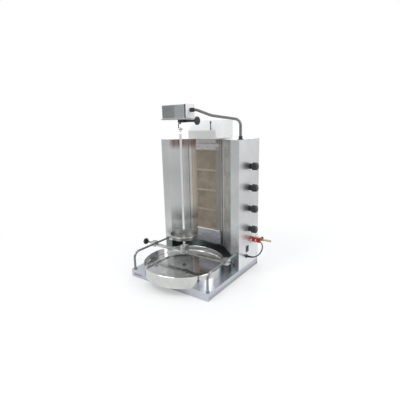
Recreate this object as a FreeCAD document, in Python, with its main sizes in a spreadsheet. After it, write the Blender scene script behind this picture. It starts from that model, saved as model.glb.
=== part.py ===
import FreeCAD, Part

import math
import os
import re

import Sketcher

# Vertical rotisserie broiler: a gas grill with an upright turning spit.
# Frame: X to the right, Y to the back, Z up; the origin is the centre of the base's underside. Millimetres.

SIZES = (
    # sheet metal
    ("sheet_gauge", 1.5, "thickness of every folded sheet"),
    # base
    ("base_width", 500, "base and cabinet, left to right"),
    ("base_depth", 507, "base, front to back"),
    ("base_height", 40, "top of the deck"),
    ("side_skirt", 20, "depth of the deck's side skirts"),
    ("chassis_inset", 3, "bottom tray, inside the deck's side faces"),
    ("slot_left", -232, "left end of the slot in the front skirt"),
    ("slot_length", 56, "slot in the front skirt"),
    ("slot_height", 9, "slot in the front skirt"),
    ("slot_low", 13, "lower edge of the slot"),
    # drip pan
    ("pan_y", -110, "centre of the round pan"),
    ("pan_radius", 209, "outside of the pan's wall"),
    ("pan_rim", 99, "height of the rim"),
    ("pan_floor", 71, "height of the pan's floor"),
    ("bead_width", 3, "rolled bead outside the wall"),
    ("bead_height", 6, "rolled bead"),
    ("drain_radius", 8, "hole in the middle of the pan"),
    # side rails and carriage
    ("rail_x", 237, "rails, from the middle"),
    ("rail_y", -240, "rails' front legs"),
    ("rail_height", 133, "axis of the rails' level run"),
    ("rail_radius", 6, "rail rod"),
    ("rail_bend", 36, "bend radius on the rod's axis"),
    ("flange_radius", 11, "welded flanges of the rails"),
    ("flange_thickness", 3, "welded flanges of the rails"),
    ("bar_y", -78, "cross bar and spit axis"),
    ("bar_width", 26, "flat cross bar"),
    ("bar_thickness", 8, "flat cross bar"),
    ("bar_low", 125, "underside of the cross bar"),
    ("block_inner", 12, "clamp block, inside the rail's axis"),
    ("block_outer", 18, "clamp block, outside the rail's axis"),
    ("block_depth", 32, "clamp block along the rail"),
    ("block_low", 119, "underside of the clamp blocks"),
    ("block_height", 28, "clamp blocks"),
    ("rail_clearance", 0.15, "clamp block's bore round the rail"),
    ("stud_radius", 4, "clamp knob's stud"),
    ("stud_gap", 0.3, "between the stud's tip and the rail"),
    ("running_gap", 0.05, "radial clearance of turning pins"),
    ("clamp_left", 300, "inner face of the left clamp knob"),
    ("clamp_right", 284, "inner face of the right clamp knob"),
    ("clamp_radius", 18, "clamp knobs"),
    ("clamp_depth", 16, "clamp knobs"),
    # foot block and spit
    ("spit_x", -20, "spit axis"),
    ("spit_radius", 6, "spit rod"),
    ("spit_low", 145, "foot of the spit rod"),
    ("foot_width", 30, "foot block along the bar"),
    ("foot_depth", 34, "foot block across the bar"),
    ("foot_height", 35, "foot block above the bar"),
    ("cheek_width", 30, "foot block's cheeks round the bar"),
    ("cheek_drop", 4, "cheeks below the bar"),
    ("ball_radius", 4, "thrust ball under the spit"),
    ("eye_height", 775, "centre of the drive eye"),
    ("eye_radius", 11, "outside of the drive eye"),
    ("eye_hole", 7, "inside of the drive eye"),
    ("eye_thickness", 5, "drive eye"),
    ("neck_low", 752, "start of the rod's thin neck"),
    ("neck_radius", 4, "rod's neck under the eye"),
    ("plate_height", 212, "underside of the meat plate"),
    ("plate_floor_radius", 68, "flat floor of the meat plate"),
    ("plate_radius", 75, "rim of the meat plate"),
    ("plate_rim", 21, "rise of the meat plate's rim"),
    ("collar_radius", 10, "hub collar under the plate"),
    ("collar_height", 14, "hub collar under the plate"),
    ("thumb_radius", 2.5, "thumb screw of the collar"),
    ("thumb_head", 6, "radius of the thumb screw's head"),
    # cabinet
    ("cabinet_top", 718, "top of the cabinet"),
    ("facet_y", 33, "front faces of the cabinet"),
    ("facet_width", 49, "each front face"),
    ("wing_run", 86, "each wing, left to right"),
    ("wing_rise", 76, "each wing, front to back"),
    ("jamb_run", 37, "each jamb, left to right"),
    ("jamb_rise", 21, "each jamb, front to back"),
    ("wing_angle", 41.468, "wing to the front face, degrees"),
    ("jamb_angle", 29.578, "jamb to the front face, degrees"),
    ("bay_top", 125, "lower edge of wings and skirt"),
    ("bay_depth", 112, "low bay behind the front faces"),
    ("bay_side", 203, "side walls of the low bay, from the middle"),
    ("louvre_width", 180, "air slots in the back"),
    ("louvre_height", 5, "air slots in the back"),
    ("louvre_low", 150, "lowest air slot"),
    ("louvre_pitch", 22, "air slots in the back"),
    ("louvre_count", 8, "air slots in the back"),
    ("flue_opening_depth", 70, "opening in the top, under the hood"),
    ("flue_opening_width", 140, "opening in the top, under the hood"),
    # fire
    ("fire_low", 206, "underside of the lowest burner"),
    ("burner_pitch", 113.5, "burners, one above the other"),
    ("burner_depth", 60, "burner body, front to back"),
    ("burner_width", 132, "burner body, left to right"),
    ("burner_border", 5, "burner frame above and below its plaque"),
    ("burner_wall", 2, "side walls of the burner body"),
    ("tile_thickness", 14, "ceramic plaque"),
    ("tile_setback", 2, "plaque behind the burner frame"),
    ("plenum_depth", 41, "gas space behind the plaque"),
    ("mixer_radius", 11, "mixing tube"),
    ("mixer_bore", 9, "inside of the mixing tube"),
    ("mixer_end", 185, "open end of the mixing tube"),
    ("mixer_setback", 35, "mixing tube's axis behind the burner face"),
    ("strip_thickness", 1.2, "flash strip beside the burners"),
    ("header_band", 20, "raised band on the header"),
    ("band_rise", 3, "raised bands, in front of their sheet"),
    ("ledge_depth", 8, "ledge under the fire"),
    ("ledge_height", 7, "ledge under the fire"),
    # gas train
    ("knob_y", 147.5, "knobs on the right panel"),
    ("knob_low", 242.5, "lowest knob"),
    ("knob_pitch", 112.5, "knobs, one above the other"),
    ("knob_radius", 20, "grip of a gas knob"),
    ("knob_depth", 28, "grip of a gas knob"),
    ("knob_neck", 10, "neck of a gas knob"),
    ("knob_gap", 17, "from the panel to the grip"),
    ("knob_rest_gap", 7, "from the panel to the neck's end"),
    ("bezel_radius", 15, "bezel ring round the neck"),
    ("bezel_hole", 11, "inside of the bezel"),
    ("bezel_depth", 6, "bezel ring"),
    ("stem_radius", 4, "valve stem"),
    ("stem_inner", 230, "inner end of the stem"),
    ("stem_outer", 281, "outer end of the stem"),
    ("valve_radius", 12, "valve barrel"),
    ("valve_inner", 208, "inner end of the valve"),
    ("valve_outer", 244, "outer end of the valve"),
    ("jet_radius", 5, "gas jet"),
    ("jet_end", 192, "tip of the jet"),
    ("pipe_x", 225, "supply pipe"),
    ("pipe_y", 190, "supply pipe and inlet"),
    ("pipe_radius", 8, "supply pipe"),
    ("pipe_top", 600, "supply pipe"),
    ("pipe_low", 155, "supply pipe"),
    ("inlet_height", 177, "gas inlet"),
    ("inlet_end", 262, "end of the inlet pipe, outside the panel"),
    ("cock_radius", 11, "body of the gas cock"),
    ("cock_ball", 13, "widest part of the gas cock"),
    ("cock_end", 300, "end of the cock's body"),
    ("tail_radius", 5, "hose tail"),
    ("tail_end", 357, "tip of the hose tail"),
    ("lever_x", 280, "axis of the lever"),
    ("lever_reach", 25, "each wing of the lever"),
    ("lever_tip", 14, "half height of a wing at its tip"),
    ("lever_waist", 9, "half height of the wings where they meet"),
    ("lever_hub", 10, "boss in the middle of the lever"),
    ("lever_face", 16, "back of the wings, in front of the pipe's axis"),
    ("lever_thickness", 6, "wings of the lever"),
    ("lever_stem", 3, "radius of the lever's stem"),
    # flue hood
    ("hood_half_width", 88, "hood, from the middle"),
    ("hood_front", 75, "front face of the hood"),
    ("hood_low", 721, "lower edge of the hood"),
    ("hood_step", 763, "top of the hood's upright front"),
    ("hood_run", 63, "sloping face, front to back"),
    ("hood_angle", 40.6, "sloping face to the level, degrees"),
    ("outlet_half_width", 70, "outlet in the back of the hood"),
    ("outlet_low", 748, "outlet in the back of the hood"),
    ("outlet_height", 50, "outlet in the back of the hood"),
    ("damper_x", 54, "damper rod"),
    ("damper_y", 82, "damper rod"),
    ("damper_radius", 3, "damper rod"),
    ("damper_low", 739, "damper plate"),
    ("damper_top", 797, "end of the bare rod"),
    ("damper_tip", 14, "tip on the rod"),
    ("damper_tip_radius", 4.5, "tip on the rod"),
    ("damper_half_width", 80, "damper plate"),
    ("damper_depth", 46, "damper plate"),
    # swing arm
    ("post_x", 220, "post of the swing arm"),
    ("post_y", 100, "post of the swing arm"),
    ("post_foot", 645, "lower end of the post"),
    ("arm_radius", 7, "arm tube"),
    ("arm_bearing", 640, "lower end of the bearing sleeve"),
    ("sleeve_radius", 9.9, "bearing sleeve"),
    ("collar_flange", 16, "flange on the cabinet's top"),
    ("post_collar_radius", 10, "collar above the top"),
    ("post_collar_height", 17, "collar above the top"),
    ("arm_bend_height", 814, "top of the post"),
    ("arm_middle_reach", 148, "second bend, from the post"),
    ("arm_middle_height", 837, "second bend"),
    ("arm_far_reach", 219, "third bend, from the post"),
    ("arm_far_height", 864.5, "third bend and the arm's end"),
    ("arm_reach", 235, "end of the arm, from the post"),
    ("arm_box_reach", 246.5, "face of the motor case, from the post"),
    ("post_bend", 32, "bend radius at the post"),
    ("middle_bend", 110, "bend radius"),
    ("far_bend", 45, "bend radius"),
    ("socket_radius", 10, "end fitting of the arm"),
    ("socket_reach", 229, "free end of the fitting, from the post"),
    # drive
    ("case_left", -104, "motor case"),
    ("case_right", 44, "motor case with its end cover"),
    ("case_front", -113, "motor case"),
    ("case_back", -43, "motor case"),
    ("case_low", 826, "motor case, top of the flange plate"),
    ("case_top", 890, "motor case"),
    ("cover_gap", 1, "joint between the case and its end cover"),
    ("flange_margin", 4, "flange plate, outside the case"),
    ("flange_plate", 6, "thickness of the flange plate"),
    ("shaft_radius", 5, "output shaft"),
    ("shaft_low", 801, "lower end of the output shaft"),
    ("shaft_top", 848, "upper end of the output shaft"),
    ("gear_module", 1, "gear pair"),
    ("gear_teeth", 60, "gear wheel"),
    ("pinion_teeth", 15, "pinion"),
    ("gear_low", 831, "gear wheel"),
    ("gear_width", 6, "gear wheel"),
    ("pinion_width", 8, "pinion"),
    ("tooth_backlash", 0.2, "taken off each tooth's thickness"),
    ("pinion_shaft", 2.5, "motor shaft"),
    ("bearing_low", 840, "bearing plate over the gears"),
    ("bearing_plate", 3, "bearing plate over the gears"),
    ("bearing_left", -92, "bearing plate"),
    ("bearing_right", 34, "bearing plate"),
    ("bearing_half_depth", 31, "bearing plate, from the spit axis"),
    ("pillar_radius", 3, "pillars of the bearing plate"),
    ("pillar_inset", 4, "pillars, inside the plate's edges"),
    ("motor_radius", 23, "geared motor"),
    ("motor_height", 41, "geared motor above the bearing plate"),
    ("hook_radius", 2.5, "wire of the drive hook"),
    ("hook_offset", 11, "hook's upright, beside the axis"),
    ("hook_reach", 12, "hook's foot, past the axis"),
    ("hook_top", 802, "hook's upper arm"),
    ("hook_bend", 6, "bend radius of the hook"),
    ("housing_left", -27, "shaft housing"),
    ("housing_right", 12, "shaft housing"),
    ("housing_depth", 20, "shaft housing"),
    ("housing_low", 806, "shaft housing"),
    ("lock_height", 813, "axis of the lock screw"),
    ("lock_sleeve_radius", 6, "sleeve of the lock screw"),
    ("lock_sleeve_end", 65, "sleeve of the lock screw"),
    ("lock_screw_radius", 3.5, "lock screw"),
    ("lock_knob_left", 77, "inner face of the star knob"),
    ("lock_knob_depth", 14, "star knob"),
    ("lock_knob_radius", 20, "star knob"),
    # switch and gland
    ("switch_y", 125.5, "rocker switch"),
    ("switch_height", 134, "rocker switch"),
    ("bezel_width", 27, "switch bezel, front to back"),
    ("bezel_height", 34, "switch bezel"),
    ("bezel_rise", 2, "switch bezel, proud of the panel"),
    ("switch_width", 22, "switch body"),
    ("switch_tall", 28, "switch body"),
    ("switch_depth", 24, "switch body, behind the panel"),
    ("rocker_width", 17.6, "rocker"),
    ("rocker_cavity_width", 18, "cavity for the rocker"),
    ("rocker_cavity_tall", 26, "cavity for the rocker"),
    ("rocker_cavity_depth", 12, "cavity for the rocker"),
    ("rocker_axis", 247, "axis of the rocker"),
    ("rocker_tilt", 8, "rocker to the panel, degrees"),
    ("trunnion_radius", 1.5, "rocker's pins"),
    ("trunnion_length", 20, "rocker's pins, end to end"),
    ("gland_y", 115, "cable gland"),
    ("gland_height", 96, "cable gland"),
    ("gland_nut", 10, "radius of the gland's nut"),
    ("gland_thread", 7.5, "radius of the gland's thread"),
    ("gland_tip", 264, "tip of the bend relief"),
    # mains lead
    ("lead_radius", 3.25, "mains lead"),
    ("coil_x", 85, "stored coil"),
    ("coil_y", 316.75, "stored coil"),
    ("coil_layers", 2, "turns on each other"),
    ("coil_columns", 3, "turns beside each other"),
    ("coil_outer_turn", 42.25, "axis of the outer turn"),
    ("coil_stub_end", 115, "where the lead meets the coil"),
    ("plug_right", 31, "cable end of the plug"),
    ("plug_height", 18.5, "axis of the plug and radius of its body"),
    ("plug_relief", 30, "plug's bend relief"),
    ("plug_body", 38, "plug's body"),
    ("plug_pin_radius", 2.4, "plug's pins"),
    ("plug_pin_length", 19, "plug's pins"),
    ("plug_pin_spacing", 19, "plug's pins"),
    ("clip_x", 188, "cable clip on the back"),
    ("clip_y", 263, "axis of the clip's loop"),
    ("clip_low", 60, "cable clip"),
    ("clip_height", 8, "cable clip"),
    ("clip_bore", 4.3, "clip's loop, inside"),
    ("clip_radius", 6.3, "clip's loop, outside"),
    ("clip_tab", 22, "clip's tab on the panel"),
    # screws
    ("screw_head", 4, "radius of a panel screw's head"),
    ("screw_rise", 2.2, "height of a panel screw's head"),
    ("screw_shank", 2, "radius of a panel screw's shank"),
    ("screw_length", 8, "panel screw, under its head"),
    ("screw_inset", 10, "panel screws, from the sheet's edge"),
)

# The mains lead from the gland to the stored coil: round the cabinet's rear corner, through the clip
# and down to the floor.
LEAD_ROUTE = (
    (264, 115, 96),
    (287, 115, 96),
    (306, 123, 102.5),
    (317, 140, 113),
    (318, 161.5, 124),
    (312, 185, 132),
    (299.5, 210, 136.5),
    (283, 236, 137),
    (261, 261, 131.5),
    (232, 272, 120),
    (205, 269, 102),
    (189, 264, 77),
    (188, 263, 52),
    (179, 266, 29),
    (161.5, 270.5, 12.5),
    (139, 274.5, 3.25),
    (115, 274.5, 3.25),
)

X_AXIS = FreeCAD.Vector(1, 0, 0)
Y_AXIS = FreeCAD.Vector(0, 1, 0)
UP = FreeCAD.Vector(0, 0, 1)

doc = FreeCAD.newDocument("vertical_broiler")
sheet = doc.addObject("Spreadsheet::Sheet", "Sizes")
for row, (alias, value, meaning) in enumerate(SIZES, start=1):
    sheet.set("A%d" % row, meaning)
    sheet.set("B%d" % row, str(value))
    sheet.setAlias("B%d" % row, alias)
doc.recompute()

sub_parts = []


# ---------------------------------------------------------------- helpers


def size(alias):
    """One size, read from the sheet."""
    return float(sheet.get(alias))


def formula(text):
    """The same formula, with each size's name looked up in the sheet."""
    return re.sub(r"[a-z]+(_[a-z]+)+", lambda name: "Sizes." + name.group(), text)


def keep(piece):
    """Marks a finished sub-part, which is written under its Label."""
    sub_parts.append(piece)
    return piece


def place(piece, corner, axis=UP):
    """Puts a piece's origin at three formulas and turns its Z axis to `axis`."""
    piece.Placement = FreeCAD.Placement(FreeCAD.Vector(), FreeCAD.Rotation(UP, axis))
    for letter, text in zip("xyz", corner):
        piece.setExpression("Placement.Base." + letter, formula(text))


def box(name, lengths, corner):
    """Block with its low corner at `corner`."""
    piece = doc.addObject("Part::Box", name)
    for side, text in zip(("Length", "Width", "Height"), lengths):
        piece.setExpression(side, formula(text))
    place(piece, corner)
    return piece


def rod(name, radius, length, start, axis=UP):
    """Round bar from `start` along `axis`."""
    piece = doc.addObject("Part::Cylinder", name)
    piece.setExpression("Radius", formula(radius))
    piece.setExpression("Height", formula(length))
    place(piece, start, axis)
    return piece


def join(name, *pieces):
    """One solid from touching or overlapping pieces."""
    piece = doc.addObject("Part::MultiFuse", name)
    piece.Shapes = list(pieces)
    return piece


def cut(name, base, *tools):
    """A piece with one or more tools taken away."""
    piece = doc.addObject("Part::Cut", name)
    piece.Base = base
    piece.Tool = tools[0] if len(tools) == 1 else join(name + "_tools", *tools)
    return piece


def group(name, *pieces):
    """Separate solids that share one sub-part."""
    piece = doc.addObject("Part::Compound", name)
    piece.Links = list(pieces)
    return piece


def body(name):
    """Empty PartDesign body."""
    return doc.addObject("PartDesign::Body", name)


def sketch(owner, name, role, height="0"):
    """Sketch on one of the body's own origin planes, or `height` above it."""
    plane = [item for item in owner.Origin.OriginFeatures if item.Role == role][0]
    drawing = owner.newObject("Sketcher::SketchObject", owner.Name + "_" + name)
    drawing.AttachmentSupport = [(plane, "")]
    drawing.MapMode = "FlatFace"
    drawing.setExpression("AttachmentOffset.Base.z", formula(height))
    return drawing


def dimension(drawing, kind, geometry, point, text, start):
    """Distance of a point from the sketch's origin, bound to a formula."""
    index = drawing.addConstraint(Sketcher.Constraint(kind, -1, 1, geometry, point, start))
    drawing.setExpression("Constraints[%d]" % index, formula(text))


def outline(drawing, corners):
    """Closed outline with its corners at pairs of formulas."""
    count = len(corners)
    first = drawing.GeometryCount
    turns = [2 * math.pi * number / count for number in range(count)]
    starts = [FreeCAD.Vector(10 * math.cos(turn), 10 * math.sin(turn), 0) for turn in turns]
    for number in range(count):
        side = Part.LineSegment(starts[number], starts[(number + 1) % count])
        drawing.addGeometry(side, False)
    for number in range(count):
        following = first + (number + 1) % count
        drawing.addConstraint(Sketcher.Constraint("Coincident", first + number, 2, following, 1))
    for number, (across, along) in enumerate(corners):
        dimension(drawing, "DistanceX", first + number, 1, across, starts[number].x)
        dimension(drawing, "DistanceY", first + number, 1, along, starts[number].y)


def circle(drawing, across, along, radius):
    """Full circle with its centre and radius at formulas."""
    index = drawing.GeometryCount
    drawing.addGeometry(Part.Circle(FreeCAD.Vector(1, 1, 0), UP, 1), False)
    dimension(drawing, "DistanceX", index, 3, across, 1)
    dimension(drawing, "DistanceY", index, 3, along, 1)
    constraint = drawing.addConstraint(Sketcher.Constraint("Radius", index, 1))
    drawing.setExpression("Constraints[%d]" % constraint, formula(radius))


def rectangle(drawing, low, high):
    """Rectangle between two corners."""
    outline(drawing, [low, (high[0], low[1]), high, (low[0], high[1])])


def pad(owner, drawing, length):
    """Thickens a sketch along its plane's normal."""
    feature = owner.newObject("PartDesign::Pad", drawing.Name + "_pad")
    feature.Profile = drawing
    feature.setExpression("Length", formula(length))
    return feature


def pocket(owner, drawing, length=None):
    """Cuts along the plane's normal, right through where no length is given."""
    feature = owner.newObject("PartDesign::Pocket", drawing.Name + "_pocket")
    feature.Profile = drawing
    feature.Reversed = True
    if length is None:
        feature.Type = "ThroughAll"
    else:
        feature.setExpression("Length", formula(length))
    return feature


def turned(name, profile, start, axis=UP):
    """Body turned from a (radius, distance) profile about `axis`."""
    owner = body(name)
    drawing = sketch(owner, "profile", "XZ_Plane")
    outline(drawing, profile)
    feature = owner.newObject("PartDesign::Revolution", name + "_turn")
    feature.Profile = drawing
    feature.ReferenceAxis = (drawing, ["V_Axis"])
    feature.Angle = 360
    place(owner, start, axis)
    return owner


def flute(owner, centre, radius, count):
    """Scallops cut round a turned body, along its whole length."""
    drawing = sketch(owner, "flute", "XY_Plane")
    circle(drawing, centre, "0", radius)
    cutter = pocket(owner, drawing)
    doc.recompute()
    pattern = owner.newObject("PartDesign::PolarPattern", owner.Name + "_flutes")
    pattern.Originals = [cutter]
    pattern.Axis = (drawing, ["N_Axis"])
    pattern.Angle = 360
    pattern.Occurrences = count
    owner.Tip = pattern


def rounded_route(points, bends):
    """Wire of straight runs joined by tangent arcs; one bend radius for each inner point."""
    edges = []
    start = points[0]
    for number, radius in enumerate(bends, start=1):
        corner = points[number]
        back = (points[number - 1] - corner).normalize()
        ahead = (points[number + 1] - corner).normalize()
        half_turn = (math.pi - back.getAngle(ahead)) / 2
        reach = radius * math.tan(half_turn)
        enter = corner + back * reach
        leave = corner + ahead * reach
        inward = (back + ahead).normalize()
        middle = corner + inward * (radius / math.cos(half_turn) - radius)
        edges.append(Part.LineSegment(start, enter).toShape())
        edges.append(Part.Arc(enter, middle, leave).toShape())
        start = leave
    edges.append(Part.LineSegment(start, points[-1]).toShape())
    return Part.Wire(edges)


def round_sweep(wire, radius):
    """Solid round rod along a wire."""
    first = wire.OrderedEdges[0]
    start = first.valueAt(first.FirstParameter)
    along = first.tangentAt(first.FirstParameter)
    section = Part.Wire(Part.makeCircle(radius, start, along))
    return wire.makePipeShell([section], True, False)


def feature(name, shape, base=FreeCAD.Vector()):
    """Sub-part whose shape is made by code from the sheet's sizes."""
    piece = doc.addObject("Part::Feature", name)
    piece.Shape = shape
    piece.Placement = FreeCAD.Placement(base, FreeCAD.Rotation())
    return piece


# ---------------------------------------------------------------- base and pan


def make_base():
    """Folded deck with skirts, and the tray that closes it from below."""
    outer = box(
        "deck_blank",
        ("base_width", "base_depth", "base_height"),
        ("-base_width / 2", "-base_depth / 2", "0"),
    )
    hollow = box(
        "deck_hollow",
        ("base_width - 2 * sheet_gauge", "base_depth - 2 * sheet_gauge", "base_height - sheet_gauge"),
        ("-base_width / 2 + sheet_gauge", "-base_depth / 2 + sheet_gauge", "0"),
    )
    relief = ("sheet_gauge", "base_depth - 2 * sheet_gauge", "base_height - side_skirt")
    left = box("left_relief", relief, ("-base_width / 2", "-base_depth / 2 + sheet_gauge", "0"))
    right_corner = ("base_width / 2 - sheet_gauge", "-base_depth / 2 + sheet_gauge", "0")
    right = box("right_relief", relief, right_corner)
    slot = box(
        "front_slot",
        ("slot_length", "sheet_gauge", "slot_height"),
        ("slot_left", "-base_depth / 2", "slot_low"),
    )
    keep(cut("base_tray", outer, hollow, left, right, slot))

    tray = box(
        "tray_blank",
        (
            "base_width - 2 * chassis_inset",
            "base_depth - 2 * chassis_inset",
            "base_height - sheet_gauge",
        ),
        ("-base_width / 2 + chassis_inset", "-base_depth / 2 + chassis_inset", "0"),
    )
    tray_hollow = box(
        "tray_hollow",
        (
            "base_width - 2 * chassis_inset - 2 * sheet_gauge",
            "base_depth - 2 * chassis_inset - 2 * sheet_gauge",
            "base_height",
        ),
        (
            "-base_width / 2 + chassis_inset + sheet_gauge",
            "-base_depth / 2 + chassis_inset + sheet_gauge",
            "sheet_gauge",
        ),
    )
    keep(cut("base_chassis", tray, tray_hollow))


def make_pan():
    """Round drip pan: a deep outer wall with a rolled rim and a raised floor, and its drain plug."""
    profile = [
        ("drain_radius", "pan_floor - sheet_gauge"),
        ("pan_radius - sheet_gauge", "pan_floor - sheet_gauge"),
        ("pan_radius - sheet_gauge", "base_height"),
        ("pan_radius", "base_height"),
        ("pan_radius", "pan_rim - bead_height"),
        ("pan_radius + bead_width", "pan_rim - bead_height + 1.5"),
        ("pan_radius + bead_width", "pan_rim - 1.5"),
        ("pan_radius + bead_width / 2", "pan_rim"),
        ("pan_radius - sheet_gauge / 2", "pan_rim"),
        ("pan_radius - sheet_gauge", "pan_rim - 1"),
        ("pan_radius - sheet_gauge", "pan_floor + 4"),
        ("pan_radius - sheet_gauge - 1.2", "pan_floor + 1.2"),
        ("pan_radius - sheet_gauge - 4", "pan_floor"),
        ("drain_radius", "pan_floor"),
    ]
    keep(turned("drip_pan", profile, ("0", "pan_y", "0")))

    plug = [
        ("0", "-sheet_gauge - 4"),
        ("drain_radius - 1", "-sheet_gauge - 4"),
        ("drain_radius - running_gap", "-sheet_gauge - 3"),
        ("drain_radius - running_gap", "0"),
        ("drain_radius + 4", "0"),
        ("drain_radius + 3.5", "2"),
        ("drain_radius - 4", "3"),
        ("drain_radius - 4.5", "7"),
        ("drain_radius - 3.5", "9"),
        ("0", "9.5"),
    ]
    keep(turned("drain_plug", plug, ("0", "pan_y", "pan_floor")))


# ---------------------------------------------------------------- rails and carriage


def make_rails():
    """Two bent rods: up from the deck, then level to the cabinet's front faces."""
    rails = []
    for side in (-1, 1):
        across = side * size("rail_x")
        front = size("rail_y")
        level = size("rail_height")
        deck = size("base_height")
        face = size("facet_y")
        route = [
            FreeCAD.Vector(across, front, deck),
            FreeCAD.Vector(across, front, level),
            FreeCAD.Vector(across, face, level),
        ]
        rail = round_sweep(rounded_route(route, [size("rail_bend")]), size("rail_radius"))
        flange = (size("flange_radius"), size("flange_thickness"))
        foot = Part.makeCylinder(*flange, route[0], UP)
        head = Part.makeCylinder(*flange, route[2], -Y_AXIS)
        rails.append(rail.fuse([foot, head]))
    keep(feature("side_rails", Part.makeCompound(rails)))


def make_carriage():
    """Flat bar welded between two clamp blocks that slide along the rails."""
    half_bar = "rail_x - block_inner"
    keep(
        box(
            "cross_bar",
            ("2 * (%s)" % half_bar, "bar_width", "bar_thickness"),
            ("-(%s)" % half_bar, "bar_y - bar_width / 2", "bar_low"),
        )
    )
    blocks = []
    for side, sign, low in (
        ("left", "-", "-rail_x - block_outer"),
        ("right", "", "rail_x - block_inner"),
    ):
        blank = box(
            "block_blank_" + side,
            ("block_inner + block_outer", "block_depth", "block_height"),
            (low, "bar_y - block_depth / 2", "block_low"),
        )
        bore = rod(
            "rail_bore_" + side,
            "rail_radius + rail_clearance",
            "block_depth",
            (sign + "rail_x", "bar_y - block_depth / 2", "rail_height"),
            Y_AXIS,
        )
        axis = -X_AXIS if side == "left" else X_AXIS
        thread = rod(
            "stud_bore_" + side,
            "stud_radius + running_gap",
            "block_outer",
            (sign + "rail_x", "bar_y", "rail_height"),
            axis,
        )
        blocks.append(cut("clamp_block_" + side, blank, bore, thread))
    keep(group("clamp_blocks", *blocks))
    make_clamp_knob("left", "-", -X_AXIS, "clamp_left")
    make_clamp_knob("right", "", X_AXIS, "clamp_right")


def make_clamp_knob(side, sign, axis, reach):
    """Lobed knob on a stud whose tip presses on the rail."""
    tip = "rail_x + rail_radius + stud_gap"
    stud = "%s - (%s)" % (reach, tip)
    profile = [
        ("0", "0"),
        ("stud_radius", "0"),
        ("stud_radius", stud),
        ("clamp_radius - 6", stud),
        ("clamp_radius", stud + " + 3"),
        ("clamp_radius", stud + " + clamp_depth - 4"),
        ("clamp_radius - 4", stud + " + clamp_depth - 1"),
        ("0", stud + " + clamp_depth"),
    ]
    start = (sign + "(" + tip + ")", "bar_y", "rail_height")
    knob = turned("clamp_knob_" + side, profile, start, axis)
    flute(knob, "clamp_radius + 3", "6", 6)
    keep(knob)


def make_foot():
    """Block on the cross bar, with cheeks round the bar and a thrust ball in its bore."""
    bar_top = "bar_low + bar_thickness"
    block = box(
        "foot_blank",
        ("foot_width", "foot_depth", "foot_height"),
        ("spit_x - foot_width / 2", "bar_y - foot_depth / 2", bar_top),
    )
    cheek = ("cheek_width", "(foot_depth - bar_width) / 2 - running_gap", "bar_thickness + cheek_drop")
    low = "bar_low - cheek_drop"
    front = box("front_cheek", cheek, ("spit_x - cheek_width / 2", "bar_y - foot_depth / 2", low))
    rear = box(
        "rear_cheek",
        cheek,
        ("spit_x - cheek_width / 2", "bar_y + bar_width / 2 + running_gap", low),
    )
    bore = rod(
        "spit_bore",
        "spit_radius + running_gap",
        "foot_height",
        ("spit_x", "bar_y", "spit_low - 2 * ball_radius"),
    )
    ball = doc.addObject("Part::Sphere", "thrust_ball")
    ball.setExpression("Radius", formula("ball_radius"))
    place(ball, ("spit_x", "bar_y", "spit_low - ball_radius"))
    block_with_bore = cut("foot_casting", join("foot_solid", block, front, rear), bore)
    keep(group("foot_block", block_with_bore, ball))


def make_spit():
    """Spit rod with its drive eye, meat plate, and hub collar with thumb screw."""
    shank = turned(
        "spit_shank",
        [
            ("0", "spit_low"),
            ("spit_radius - 2", "spit_low"),
            ("spit_radius", "spit_low + 3"),
            ("spit_radius", "neck_low"),
            ("neck_radius", "neck_low + 6"),
            ("neck_radius", "eye_height - eye_hole - 1"),
            ("0", "eye_height - eye_hole - 1"),
        ],
        ("spit_x", "bar_y", "0"),
    )
    eye_start = ("spit_x - eye_thickness / 2", "bar_y", "eye_height")
    rim = rod("eye_rim", "eye_radius", "eye_thickness", eye_start, X_AXIS)
    hole = rod("eye_bore", "eye_hole", "eye_thickness", eye_start, X_AXIS)
    keep(cut("spit_rod", join("spit_with_rim", shank, rim), hole))

    plate = [
        ("spit_radius + running_gap", "0"),
        ("plate_floor_radius", "0"),
        ("plate_radius - 1.5", "plate_rim - 1"),
        ("plate_radius", "plate_rim - 0.5"),
        ("plate_radius", "plate_rim"),
        ("plate_radius - 2.5", "plate_rim + 0.5"),
        ("plate_floor_radius - 1", "sheet_gauge"),
        ("spit_radius + running_gap", "sheet_gauge"),
    ]
    keep(turned("spit_plate", plate, ("spit_x", "bar_y", "plate_height")))

    ring_start = ("spit_x", "bar_y", "plate_height - collar_height")
    ring = rod("collar_ring", "collar_radius", "collar_height", ring_start)
    ring_bore = rod("collar_bore", "spit_radius + running_gap", "collar_height", ring_start)
    screw_height = "plate_height - collar_height / 2"
    screw_hole = rod(
        "thumb_hole", "thumb_radius", "collar_radius", ("spit_x", "bar_y", screw_height), X_AXIS
    )
    screw = turned(
        "thumb_screw",
        [
            ("0", "spit_radius + 0.2"),
            ("thumb_radius", "spit_radius + 0.2"),
            ("thumb_radius", "collar_radius + 6"),
            ("thumb_head", "collar_radius + 7"),
            ("thumb_head", "collar_radius + 13"),
            ("0", "collar_radius + 13"),
        ],
        ("spit_x", "bar_y", screw_height),
        X_AXIS,
    )
    keep(group("plate_collar", cut("collar", ring, ring_bore, screw_hole), screw))


# ---------------------------------------------------------------- cabinet


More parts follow.
